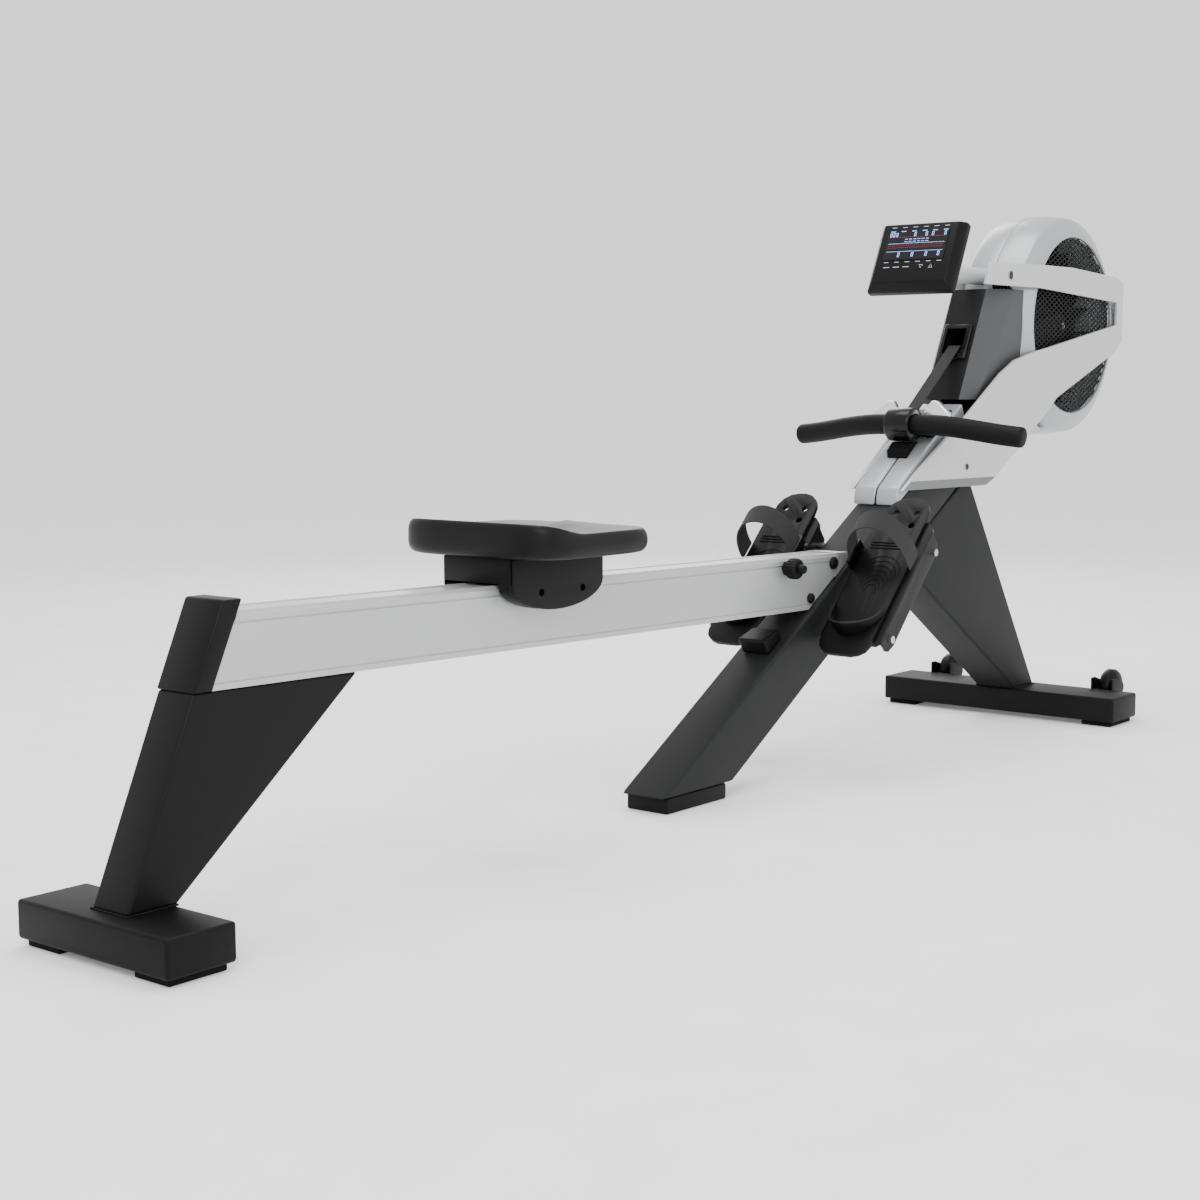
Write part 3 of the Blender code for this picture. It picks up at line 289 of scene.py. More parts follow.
def turned(name, profile, centre, mat, segments=64, angle=32.0):
    """A closed (radius, y) profile spun about the Y axis."""
    bm = bmesh.new()
    rings = []
    for radius, y in profile:
        if radius < 1e-6:
            rings.append([bm.verts.new((centre[0], y, centre[1]))] * segments)
            continue
        ring = []
        for i in range(segments):
            a = 2 * math.pi * i / segments
            ring.append(bm.verts.new((centre[0] + radius * math.cos(a), y, centre[1] + radius * math.sin(a))))
        rings.append(ring)
    for k in range(len(profile)):
        first, second = rings[k], rings[(k + 1) % len(profile)]
        for i in range(segments):
            j = (i + 1) % segments
            corners = []
            for vert in (first[i], first[j], second[j], second[i]):
                if vert not in corners:
                    corners.append(vert)
            if len(corners) > 2:
                bm.faces.new(corners)
    return linked(name, bm, mat, angle)


def arc(centre, radius, start, end, steps):
    found = []
    for i in range(steps + 1):
        a = math.radians(start + (end - start) * i / steps)
        found.append((centre[0] + radius * math.cos(a), centre[1] + radius * math.sin(a)))
    return found


def put(obj, body, nodes=()):
    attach(obj, body)
    if nodes:
        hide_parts(*nodes)
    return obj


def keep(node, mat):
    """A CAD node that stays as it is, with its finish."""
    obj = next(o for o in scene.objects if o.get("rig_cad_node") and node_name(o) == node)
    obj.data.materials.clear()
    obj.data.materials.append(mat)
    smooth(obj, 30.0)
    return obj


def node_name(obj):
    value = obj.get("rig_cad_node")
    return value if isinstance(value, str) else obj.name


ANGLE = math.radians(31.6)
REAR_BAR_X = (-1.250, -1.154)
FRONT_BAR_X = (0.857, 0.963)
BAR_Z = (0.009, 0.0555)
WELD_Z = 0.0562
FIGURE_DEPTH = -0.00165
PRINT_DEPTH = -0.0006
WHEEL = (1.0035, 0.056)
WHEEL_Y = 0.178
POST_HALF = 0.0414
POST_DEPTH = 0.095
LEG_HALF = 0.0326
RAIL_HALF = 0.0325
RAIL_HEIGHT = 0.0895
RAIL_ROOM = 0.0295
PIVOT = (0.214, 0.3475)
STOP = (0.145, 0.294)
LOCK = (0.073, 0.349)
FAN = (1.012, 0.761)
GRIP = (0.492, 0.5745)
OUTLET = (0.682, 0.722)
TILT_AXIS = (0.566, 0.8475)
TUBE_RADIUS = 0.016
UP = (math.cos(ANGLE), math.sin(ANGLE))


def post_point(along, above):
    return (-0.264 + along * UP[0] - above * UP[1], 0.025 + along * UP[1] + above * UP[0])


def post_at_z(z, above):
    return post_point((z - 0.025 - above * UP[0]) / UP[1], above)


def rail_z(x, height):
    return 0.2935 - 0.0148 * (x + 1.0965) + height


# ------------------------------------------------------------------ feet, post and legs
def feet():
    for name, body, x, half in (
        ("rear_foot", "rail_arm", REAR_BAR_X, 0.136),
        ("front_foot", "frame", FRONT_BAR_X, 0.250),
    ):
        # The front foot's bar takes the lighter black copy (painted light); the rear foot's bar keeps the
        # plain black coat.
        coat = BLACK_PAINTED_LIGHT if body == "frame" else BLACK
        bar = block(name + "_bar", x, (-half, half), BAR_Z, coat, 0.0045)
        put(bar, body, (name,))
        end = name.split("_")[0]
        for side, low in (("left", half - 0.068), ("right", 0.008 - half)):
            inside = (x[0] + 0.008, x[1] - 0.008)
            pad = block(f"{end}_pad_{side}_v", inside, (low, low + 0.060), (0.0, 0.0087), RUBBER, 0.002)
            put(pad, body, (f"{end}_pad_{side}",))
    for side, y in (("left", WHEEL_Y), ("right", -WHEEL_Y)):
        dome = [(0.005, y - 0.0185), (0.012, y - 0.0180), (0.022, y - 0.0155), (0.030, y - 0.0115)]
        dome += [(0.034, y - 0.006)]
        dome += [(r, 2 * y - t) for r, t in reversed(dome)]
        wheel = turned("wheel_%s_v" % side, dome, WHEEL, PLASTIC, 64, 60)
        put(wheel, "wheel_" + side, ("wheel_" + side,))
        for low in (y - 0.0225, y + 0.0195):
            outline = [(0.9600, 0.036), (0.9600, 0.076), (0.975, 0.076)]
            outline += arc(WHEEL, 0.011, 70, -70, 10) + [(0.975, 0.036)]
            tab = prism("wheel_tab_%s_%d" % (side, low > y), outline, low, low + 0.003, BLACK, 0.0006)
            put(tab, "frame", ())


def post_and_legs():
    outline = [post_at_z(0.025, 0), post_at_z(0.025, -POST_DEPTH)]
    outline += [post_point(1.225, -POST_DEPTH), post_point(1.225, 0)]
    tube = prism("post_tube", outline, -POST_HALF, POST_HALF, CHARCOAL)
    put(rounded(tube, 0.0055, 4), "frame", ("post",))
    # A black foot under the post: it holds the post up, and its black also stands in for the shade beneath
    # the post, sized to that shade band.
    pad = block("post_foot_and_shade", (-0.250, -0.098), (-0.039, 0.039), (0.0, 0.0247), BLACK, 0.003)
    put(pad, "frame", ("post_pad",))
    outline = [(0.8610, 0.0558), (0.9430, 0.0558), post_point(1.0255, -0.0953), post_point(0.7485, -0.0953)]
    leg = prism("front_leg_tube", outline, -POST_HALF, POST_HALF, CHARCOAL)
    put(rounded(leg, 0.0050, 4), "frame", ("front_leg",))
    outline = [(-1.2225, 0.0558), (-1.1536, 0.0558)]
    outline += [(x, rail_z(x, -0.0003)) for x in (-0.869, -1.1226)]
    # The rear leg takes the lighter black copy: painted light.
    leg = prism("rear_leg_tube", outline, -LEG_HALF, LEG_HALF, BLACK_PAINTED_LIGHT)
    put(rounded(leg, 0.0045, 4), "rail_arm", ("rear_leg",))
    weld("rear_weld", (-1.2225, -1.1536), LEG_HALF, "rail_arm")
    weld("front_weld", (0.861, 0.943), POST_HALF, "frame")


def weld(name, x, half, body):
    """A slightly uneven bead round the foot of a leg."""
    corners = [(x[0], -half), (x[1], -half), (x[1], half), (x[0], half)]
    middle = (x[0] + x[1]) / 2
    beads, sides = 22, 6
    path = []
    for (xa, ya), (xb, yb) in zip(corners, corners[1:] + corners[:1]):
        path += [(xa + (xb - xa) * i / beads, ya + (yb - ya) * i / beads) for i in range(beads)]
    bm = bmesh.new()
    rows = []
    for k, (px, py) in enumerate(path):
        out = Vector((px - middle, py)).normalized()
        size = 0.0015 + 0.0003 * math.sin(k * 2.1)
        row = []
        for i in range(sides):
            t = 2 * math.pi * i / sides
            wide, tall = size * math.cos(t), size * math.sin(t)
            row.append(bm.verts.new((px + out.x * wide, py + out.y * wide, WELD_Z + tall)))
        rows.append(row)
    for first, second in zip(rows, rows[1:] + rows[:1]):
        for i in range(sides):
            j = (i + 1) % sides
            bm.faces.new((first[i], first[j], second[j], second[i]))
    put(linked(name, bm, BLACK, 70), body, ())


# ------------------------------------------------------------------ rail and seat
def rail():
    half, top = RAIL_HALF, RAIL_HEIGHT
    side = [(-half, 0.0), (-half, 0.0070), (0.0020 - half, 0.0074), (0.0020 - half, 0.0088)]
    side += [(0.0008 - half, 0.0092)]
    side += [(0.0008 - half, 0.0748), (0.0022 - half, 0.0752), (0.0022 - half, 0.0770), (-half, 0.0774)]
    side += [(-half, 0.0845), (0.0015 - half, 0.0850), (0.0022 - half, 0.0872), (0.0035 - half, top)]
    side += [(0.0085 - half, top), (0.0098 - half, top - 0.0015)]
    section = side + [(-y, z) for y, z in reversed(side)]
    rings = []
    for end in (0, 1):
        ring = []
        for y, z in section:
            x = -1.0965 + 0.454 * z if end == 0 else 0.2320
            ring.append((x, y, rail_z(x, z)))
        rings.append(ring)
    bar = loft("rail_bar", rings, ALLOY, angle=20)
    outline = [(-1.2, 0.2), post_at_z(0.2, 0.0009), post_at_z(0.26, 0.0009)]
    outline += arc(PIVOT, 0.0225, -58.4, 80, 20) + [(0.209, 0.45), (-1.2, 0.45)]
    cut(bar, prism("keep", outline, -0.06, 0.06, None), "INTERSECT")
    mouth = block("mouth", (0.045, 0.32), (-RAIL_ROOM, RAIL_ROOM), (0.20, 0.300), None)
    cut(bar, mouth)
    room = [(x, rail_z(x, z)) for x, z in ((0.0, 0.003), (0.40, 0.003), (0.40, 0.0865), (0.0, 0.0865))]
    cut(bar, prism("room", room, -RAIL_ROOM, RAIL_ROOM, None))
    bar.data.materials.clear()
    bar.data.materials.append(ALLOY)
    bar.data.materials.append(ALLOY_PAINTED_TOP_LIGHT)
    # Faces that point upwards take the lighter copy: painted light on the rail's top.
    for face in bar.data.polygons:
        face.material_index = 1 if face.normal.z > 0.8 else 0
    smooth(bar, 20)
    put(bar, "rail_arm", ("rail",))
    cap = [(-1.1240, 0.2931), (-1.0970, 0.2931), (-1.0500, 0.3970), (-1.0790, 0.3970)]
    end = prism("end_cap", cap, -0.0345, 0.0345, PLASTIC, 0.0030)
    put(end, "rail_arm", ("rail_end_cap",))
    bolt_heads()
    lock_parts()


def bolt_heads():
    for name, place, radius, body in (("stop", STOP, 0.0085, "rail_arm"), ("pivot", PIVOT, 0.0105, "frame")):
        for sign in (-1, 1):
            profile = [(0, 0.0400), (0.45, 0.0398), (0.8, 0.0380), (1, 0.0355), (1, 0.0327), (0, 0.0327)]
            profile = [(radius * share, sign * y) for share, y in profile]
            head = turned("%s_bolt_%d" % (name, sign), profile, place, PLASTIC, 40, 50)
            put(head, body, ("pivot_bolt",) if name == "pivot" else ())


def lock_parts():
    sleeve = [(0.006, -0.0327), (0.0120, -0.0327), (0.0120, -0.0395), (0.006, -0.0395)]
    put(turned("lock_nut", sleeve, LOCK, PLASTIC, 6), "rail_arm", ())
    levels = [(0.0048, -0.0285), (0.0048, -0.0400), (0.0150, -0.0402), (0.0168, -0.0425), (0.0172, -0.0490)]
    levels += [(0.0168, -0.0560), (0.0145, -0.0588), (0.0075, -0.0592), (0.0070, -0.0685), (0.0055, -0.0703)]
    ribs, count = 20, 80
    rings = []
    for k, (radius, y) in enumerate(levels):
        ring = []
        for i in range(count):
            a = 2 * math.pi * i / count
            dip = 0.0013 * (0.5 - 0.5 * math.cos(a * ribs)) if 2 < k < 7 else 0.0
            ring.append((LOCK[0] + (radius - dip) * math.cos(a), y, LOCK[1] + (radius - dip) * math.sin(a)))
        rings.append(ring)
    put(loft("lock_grip", rings, PLASTIC, angle=50), "lock", ("lock_knob",))


def seat_height(u, v):
    """Height of the cushion's top: u is -1 at the rear and 1 at the front, v is -1 and 1 at the sides."""
    rear = max(0.0, (-u - 0.30) / 0.70)
    rise = 0.0150 * rear * rear * (3 - 2 * rear)
    dish = -0.0065 * math.exp(-(((u + 0.05) / 0.50) ** 4 + ((abs(v) - 0.42) / 0.34) ** 4))
    ridge = 0.0060 * math.exp(-(((u - 0.62) / 0.26) ** 2 + (v / 0.15) ** 2))
    return 0.4470 + rise + dish + ridge


def seat():
    centre = -0.516
    hx, hy = 0.1245, 0.1445
    segments, power = 120, 0.42
    rim = []
    for i in range(segments):
        a = 2 * math.pi * i / segments
        cx, cy = math.cos(a), math.sin(a)
        rim.append((math.copysign(abs(cx) ** power, cx), math.copysign(abs(cy) ** power, cy)))
    rings = []
    for share in (0.04, 0.2, 0.35, 0.5, 0.64, 0.76, 0.85, 0.91, 0.95):
        inner = [(share * u, share * v) for u, v in rim]
        rings.append([(centre + hx * u, hy * v, seat_height(u, v)) for u, v in inner])
    for grow, drop in ((0.962, 0.0008), (0.980, 0.0040), (0.992, 0.0085), (0.998, 0.0135)):
        rings.append([(centre + hx * grow * u, hy * grow * v, seat_height(u, v) - drop) for u, v in rim])
    under = [
        (1.0, 0.4310), (0.998, 0.4262), (0.990, 0.4215), (0.976, 0.4178), (0.955, 0.4152), (0.925, 0.4140)
    ]
    for grow, z in under:
        rings.append([(centre + hx * grow * u, hy * grow * v, z) for u, v in rim])
    pad = loft("seat_cushion", rings, SKIN, angle=50)
    put(pad, "seat", ("seat_pad",))

    x0, x1 = -0.620, -0.428
    outline = [(x0, 0.4132), (x1, 0.4132), (x1, rail_z(x1, 0.0920)), (x0, rail_z(x0, 0.0920))]
    body = prism("carriage_block", outline, -0.0600, 0.0600, PLASTIC)
    rollers = block("well", (x0 + 0.006, x1 - 0.006), (-0.0305, 0.0305), (0.30, 0.4045), None)
    cut(body, rollers)
    put(rounded(body, 0.0018, 2), "seat", ("seat_carriage",))
    edge, mid = 0.3755, -0.524
    bow = [
        (0.094 * math.cos(math.pi * i / 36), edge - 0.0365 * math.sin(math.pi * i / 36)) for i in range(1, 36)
    ]
    short = [(x0 + 0.002, edge), (x1 - 0.002, edge)] + [(mid + x, z) for x, z in bow]
    tall = [(x1 - 0.002, edge), (x1 - 0.002, 0.4125), (x0 + 0.002, 0.4125), (x0 + 0.002, edge)]
    tall += [(mid - x, z) for x, z in bow]
    # The right cover's upper part stands hidden in the carriage block.
    for side, sign, outline in (("left", 1, short), ("right", -1, tall)):
        low, high = sorted((sign * 0.0345, sign * 0.0600))
        cover = prism("cover_" + side, outline, low, high, PLASTIC)
        rounded(cover, 0.004, 4, 40)
        screw_holes(cover, sign, mid)
        put(smooth(cover, 35), "seat", ("seat_cover_" + side,))
        low, high = sorted((sign * 0.0602, sign * 0.0640))
        skin = rounded(prism("cover_skin_" + side, tall, low, high, PLASTIC), 0.0030, 4, 40)
        screw_holes(skin, sign, mid)
        put(smooth(skin, 35), "seat", ())


def screw_holes(cover, sign, middle):
    radius, start, end = 0.0052, sign * 0.054, sign * 0.070
    for shift in (-0.037, 0.049):
        profile = [(0, start), (radius, start), (radius, end), (0, end)]
        cut(cover, turned("hole", profile, (middle + shift, 0.3645), None, 28))


# ------------------------------------------------------------------ head
ARM_SIDE = [(0.674, 0.867), (0.812, 0.870), (0.982, 0.871), (1.177, 0.861), (1.205, 0.853), (1.2495, 0.849)]
ARM_SIDE += [(1.2495, 0.743), (1.190, 0.726), (1.179, 0.712), (0.922, 0.620), (0.881, 0.592), (0.702, 0.474)]
ARM_SIDE += [(0.669, 0.461), (0.400, 0.461), (0.606, 0.590), (0.717, 0.666), (0.765, 0.691), (0.842, 0.709)]
ARM_SIDE += [(1.183, 0.7665), (1.183, 0.811), (0.842, 0.827), (0.661, 0.827)]


def arm_plan(inset):
    places = [
        (0.380, 0.0560 - inset), (0.450, 0.0560 - inset), (0.880, 0.0880 - inset), (1.195, 0.090 - inset)
    ]
    radius = 0.055 - inset
    for step in range(1, 17):
        a = math.radians(90 - 90 * step / 16)
        front = radius - 0.0003 if inset == 0 else 0.0370
        places.append((1.195 + front * math.cos(a), 0.035 + radius * math.sin(a)))
    places.append((places[-1][0], 0.0003))
    return places


def arms():
    for side, sign in (("left", 1), ("right", -1)):
        loop = arm_plan(0.0) + arm_plan(0.008)[::-1]
        walls = [[(x, sign * y, z) for x, y in loop] for z in (0.40, 0.92)]
        arm = loft("arm_" + side, walls, SILVER_LIGHT, angle=25)
        cut(arm, prism("outline", ARM_SIDE, -0.2, 0.2, None), "INTERSECT")
        mod = arm.modifiers.new("bevel", "BEVEL")
        mod.width = 0.0022
        mod.segments = 3
        mod.limit_method = "ANGLE"
        mod.angle_limit = math.radians(50)
        settle(arm, 40)
        put(arm, "frame", ("side_arm_" + side,))
        for x, z, wide in ((0.742, 0.846, 0.0085), (0.606, 0.497, 0.0058)):
            y = 0.056 + 0.0745 * (x - 0.45)
            name = "_%s_%d" % (side, x * 1000)
            ring = [(wide, -0.002), (wide + 0.0014, -0.002), (wide + 0.0014, 0.0006), (wide, 0.0006)]
            ring = [(radius, sign * (y + out)) for radius, out in ring]
            put(turned("screw_ring" + name, ring, (x, z), SILVER, 32), "frame", ())
            plug = [(0, -0.003), (wide, -0.003), (wide, 0.0005), (0, 0.0005)]
            plug = [(radius, sign * (y + out)) for radius, out in plug]
            put(turned("screw" + name, plug, (x, z), GLOSS, 6), "frame", ())
        rings = []
        edge = [
            (0.4045, 0.4615), (0.4265, 0.4615), (0.450, 0.4615), (0.669, 0.4615), (0.685, 0.4683),
            (0.698, 0.4735)
        ]
        for x, low in edge:
            high = min(0.4760, 0.4600 + 0.626 * (x - 0.400))
            y = 0.0560 + 0.0744 * max(x - 0.450, 0.0)
            ring = [(0.0004, low), (0.0004, high), (-0.0010, high), (-0.0010, low)]
            rings.append([(x, sign * (y + lift), z) for lift, z in ring])
        put(loft("arm_edge_" + side, rings, SILVER_EDGE), "frame", ())


def lattice(name, sign):
    """Expanded metal: zigzag strands that meet in diamonds."""
    pitch_x, pitch_z, radius = 0.0200, 0.0100, 0.1690
    centre, y = FAN, sign * 0.0718
    bm = bmesh.new()
    rows = int(radius / (pitch_z / 2)) + 1
    for row in range(-rows, rows + 1):
        z0 = centre[1] + row * pitch_z / 2
        run = []
        steps = int(radius / (pitch_x / 2)) + 1
        for k in range(-steps, steps + 1):
            x = centre[0] + k * pitch_x / 2
            z = z0 + (pitch_z / 4 if (k + row) % 2 else -pitch_z / 4)
            if math.hypot(x - centre[0], z - centre[1]) < radius:
                run.append((x, z))
            elif run:
                strand(bm, run, y, sign)
                run = []
        if run:
            strand(bm, run, y, sign)
    return linked(name, bm, MESH_GREY, 60)


def strand(bm, run, y, sign):
    if len(run) < 2:
        return
    rows = []
    for x, z in run:
        row = []
        for dy, dz in ((-0.0010, -0.00095), (0.0010, -0.00055), (0.0010, 0.00095), (-0.0010, 0.00055)):
            row.append(bm.verts.new((x, y + dy, z + dz)))
        rows.append(row)
    for first, second in zip(rows, rows[1:]):
        for i in range(4):
            j = (i + 1) % 4
            bm.faces.new((first[i], first[j], second[j], second[i]))
    bm.faces.new(rows[0])
    bm.faces.new(rows[-1])


def housing():
    for side, sign in (("left", 1), ("right", -1)):
        profile = [(0.2136, 0.0004), (0.2138, 0.0020), (0.2132, 0.0200), (0.2100, 0.0420), (0.2072, 0.0560)]
        profile += [(0.2052, 0.0598), (0.2035, 0.0612), (0.1760, 0.0752), (0.1728, 0.0764), (0.1712, 0.0764)]
        profile += [(0.1702, 0.0752), (0.1700, 0.0700), (0.1690, 0.0690), (0.2015, 0.0570), (0.2100, 0.0290)]
        profile = [(r, sign * y) for r, y in profile + [(0.2108, 0.0004)]]
        half = turned("housing_%s_v" % side, profile, FAN, SILVER, 160, 28)
        cut(
            half, prism("away", [(0.60, 0.40), (0.8165, 0.40), (0.8165, 1.10), (0.60, 1.10)], -0.2, 0.2, None)
        )
        lane = [
            post_point(1.0, -0.100), post_point(1.30, -0.100), post_point(1.30, 0.012), post_point(1.0, 0.012)
        ]
        cut(half, prism("lane", lane, -0.0500, 0.0500, None))
        put(smooth(half, 28), "frame", ("fan_housing_" + side,))
        put(lattice("mesh_" + side, sign), "frame", ("fan_grille_" + side,))
    seam = [(0.2128, -0.0006), (0.2134, -0.0006), (0.2134, 0.0006), (0.2128, 0.0006)]
    line = turned("housing_seam", seam, FAN, GLOSS, 120)
    cut(line, prism("away", [(0.60, 0.40), (0.8175, 0.40), (0.8175, 1.10), (0.60, 1.10)], -0.2, 0.2, None))
    put(line, "frame", ())


def shroud():
    rings = []
    for k in range(12):
        z = 0.6180 + (0.8220 - 0.6180) * k / 11
        t = (z - 0.6640) / 0.1580
        ridge = 0.6640 + 0.477 * (z - 0.689)
        fold = 0.6900 + 0.0900 * t
        half = 0.0600 + (0.0070 * t if t > 0 else 0.0330 * t)
        ring = [
            (0.8150, -half), (fold + 0.006, -half), (fold + 0.001, 0.0006 - half),
            (fold - 0.003, 0.0030 - half)
        ]
        ring += [(ridge + 0.003, -0.0365), (ridge + 0.0004, -0.0345), (ridge, -0.0320)]
        ring += [(x, -y) for x, y in reversed(ring)]
        rings.append([(x, y, z) for x, y in ring])
    cover = loft("shroud_v", rings, SHROUD, ends=True, angle=24)
    gate = block("gate", (0.600, 0.720), (-0.0205, 0.0205), (0.6990, 0.7450), None)
    cut(cover, gate)
    inner = [(0.665, 0.60), (0.90, 0.60), (0.90, 0.8190), (0.745, 0.8190), (0.700, 0.7460), (0.684, 0.700)]
    cut(cover, prism("inner", inner, -0.0325, 0.0325, None))
    for sign in (-1, 1):
        ys = sorted((sign * 0.030, sign * 0.052))
        cut(cover, block("cheek", (0.795, 0.90), ys, (0.60, 0.8190), None))
    cover.data.materials.clear()
    cover.data.materials.append(SHROUD)
    cover.data.materials.append(SHROUD_PAINTED_SIDE_LIGHT)
    # Side facets that face out along Y take the lighter copy: painted light.
    for face in cover.data.polygons:
        face.material_index = 1 if abs(face.normal.y) > 0.35 and abs(face.center.y) > 0.034 else 0
    put(smooth(cover, 24), "frame", ("shroud",))
    lean = math.atan(0.477)
    up, out = (math.sin(lean), math.cos(lean)), (-math.cos(lean), math.sin(lean))
    centre = (0.664 + 0.477 * (0.722 - 0.689), 0.722)

    def spot(along, forward):
        return tuple(centre[i] + up[i] * along + out[i] * forward for i in (0, 1))

    rim = [spot(-0.036, 0.0006), spot(0.036, 0.0006), spot(0.036, 0.0088), spot(-0.036, 0.0088)]
    bezel = prism("bezel_v", rim, -0.0283, 0.0283, GLOSS)
    rounded(bezel, 0.0040, 4)
    hole = [spot(-0.0255, -0.02), spot(0.0255, -0.02), spot(0.0255, 0.03), spot(-0.0255, 0.03)]
    cut(bezel, prism("hole", hole, -0.0200, 0.0200, None))
    put(smooth(bezel, 30), "frame", ("strap_bezel",))


def lower_cover():
    outline = [
        post_point(0.7785, 0.0009), (0.3992, 0.4480), (0.4025, 0.4590), (0.4060, 0.4660), (0.5000, 0.5340)
    ]
    outline += [(0.6270, 0.6110), post_point(1.0610, 0.0009)]
    for side, y in (("left", (0.0008, 0.0450)), ("right", (-0.0450, -0.0008))):
        half = prism("lower_cover_%s_v" % side, outline, y[0], y[1], SILVER)
        rounded(half, 0.0040, 4, 20)
        put(half, "frame", ("lower_cover_" + side,))
    inner = [(x + 0.0012, z - 0.0016) for x, z in outline[1:6]]
    inner = [post_point(0.7800, 0.0012)] + inner + [post_point(1.0600, 0.0012)]
    put(prism("cover_seam", inner, -0.0010, 0.0010, GLOSS), "frame", ())
    belly = [post_point(1.1650, -0.0965), (0.7800, 0.5478), (0.8520, 0.5480), (0.9550, 0.5525)]
    belly += arc(FAN, 0.2153, 254, 229, 16) + [post_point(1.2580, -0.0965)]
    put(
        prism("belly_v", belly, -0.0490, 0.0490, SILVER_LIGHT, 0.003), "frame", ("belly_cover",),
    )


def cradle():
    base = [(0.5240, 0.5497), (0.5900, 0.5899), (0.5900, 0.6000), (0.5600, 0.6000), (0.5240, 0.5860)]
    body = prism("cradle_v", base, -0.0440, 0.0440, PLASTIC)
    cut(body, block("slot", (0.50, 0.5275), (-0.0275, 0.0275), (0.50, 0.65), None))
    put(rounded(body, 0.002, 2), "frame", ("handle_cradle",))
    profile = [(0.0285, 0.5620), (0.0600, 0.5620), (0.0780, 0.5900), (0.0780, 0.5950), (0.0600, 0.6090)]
    profile += [(0.0530, 0.6150), (0.0450, 0.6175), (0.0390, 0.6155), (0.0340, 0.6085), (0.0285, 0.5990)]
    for side, sign in (("left", 1), ("right", -1)):
        rings = []
        for depth in (0.0, 0.0142):
            rings.append([(0.5118 + depth + 0.35 * max(z - 0.5875, 0.0), sign * y, z) for y, z in profile])
        horn = loft("horn_" + side, rings, CHROME)
        rounded(horn, 0.0025, 3)
        put(horn, "frame", ())
    pad = [
        (0.4720, 0.5145), (0.5000, 0.5350), (0.5110, 0.5417), (0.5110, 0.5435), (0.4870, 0.5425),
        (0.4700, 0.5280)
    ]
    put(prism("rest_pad_v", pad, -0.0200, 0.0200, RUBBER, 0.002), "frame", ("rest_pad",))


# ------------------------------------------------------------------ handle and strap
def tube(name, points, radius, mat, segments=36, domed=True):
    """A round bar along points, with a smooth line through them and domed ends."""
    dense = []
    for i in range(len(points) - 1):
        near = (max(i - 1, 0), i, i + 1, min(i + 2, len(points) - 1))
        p = [Vector(points[k]) for k in near]
        for k in range(14):
            t = k / 14
            spot = 0.5 * (2 * p[1] + (p[2] - p[0]) * t + (2 * p[0] - 5 * p[1] + 4 * p[2] - p[3]) * t * t)
            dense.append(spot + 0.5 * (3 * p[1] - p[0] - 3 * p[2] + p[3]) * t ** 3)
    dense.append(Vector(points[-1]))
    sizes = []
    total = sum((b - a).length for a, b in zip(dense, dense[1:]))
    gone = 0.0
    for i, place in enumerate(dense):
        if i:
            gone += (place - dense[i - 1]).length
        near = min(gone, total - gone)
        size = radius
        if domed and near < 0.006:
            size = radius * (0.72 + 0.28 * math.sqrt(max(0.0, 1 - (1 - near / 0.006) ** 2)))
        sizes.append(size)
    rings = []
    for i, place in enumerate(dense):
        run = (dense[min(i + 1, len(dense) - 1)] - dense[max(i - 1, 0)]).normalized()
        side = run.cross(Vector((0, 0, 1))).normalized()
        top = side.cross(run).normalized()
        ring = []
        for k in range(segments):
            a = 2 * math.pi * k / segments
            ring.append(place + side * sizes[i] * math.cos(a) + top * sizes[i] * math.sin(a))
        rings.append(ring)
    return loft(name, rings, mat, angle=45)


def handle():
    x, z = GRIP
    collar = 0.0290
    half = [
        (0.5098, -0.2295, 0.5535), (0.5060, -0.1850, 0.5585), (0.4975, -0.1200, 0.5680),
        (0.4930, -0.0750, 0.5730)
    ]
    half += [(x, -0.0300, z)]
    points = half + [(x, 0.0, z)] + [(a, -b, c) for a, b, c in reversed(half)]
    bar = tube("grip_bar", points, 0.0182, FOAM)
    put(bar, "handle", ("handle_bar",))
    ring = [(0.0190, -0.0250), (0.0270, -0.0250), (collar, -0.0238), (0.0298, -0.0215), (0.0298, 0.0215)]
    ring += [(collar, 0.0238), (0.0270, 0.0250), (0.0190, 0.0250)]
    put(turned("grip_collar", ring, (x, z), GLOSS, 64, 40), "handle", ("handle_collar",))
    head = Vector((OUTLET[0] - x, OUTLET[1] - z))
    along = head.normalized()
    across = Vector((-along.y, along.x))
    rings = []
    reach = head.length - 0.0090
    for k in range(60):
        distance = collar + (reach - collar) * k / 59
        place = Vector((x, z)) + along * distance
        ring = []
        for y, lift in ((-0.0125, -0.0008), (0.0125, -0.0008), (0.0125, 0.0008), (-0.0125, 0.0008)):
            spot = place + across * lift
            ring.append((spot.x, y, spot.y))
        rings.append(ring)
    band = loft("strap_band", rings, WEB, angle=30)
    uv = band.data.uv_layers.new(name="weave")
    for loop in band.data.loops:
        co = band.data.vertices[loop.vertex_index].co
        uv.data[loop.index].uv = (((co.x - x) * along.x + (co.z - z) * along.y) * 20, co.y * 20)
    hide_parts("pull_strap")
    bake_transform(band)


# ------------------------------------------------------------------ monitor
TILT = math.radians(25.0)


def screen_point(depth, side, up):
    s, c = math.sin(TILT), math.cos(TILT)
    return (0.5215 + depth * c + up * s, side, 0.8775 - depth * s + up * c)


def slab(name, depths, side, up, mat, width=0.0):
    corners = [(side[0], up[0]), (side[1], up[0]), (side[1], up[1]), (side[0], up[1])]
    rings = [[screen_point(depth, a, b) for a, b in corners] for depth in depths]
    obj = loft(name, rings, mat)
    return rounded(obj, width) if width else obj


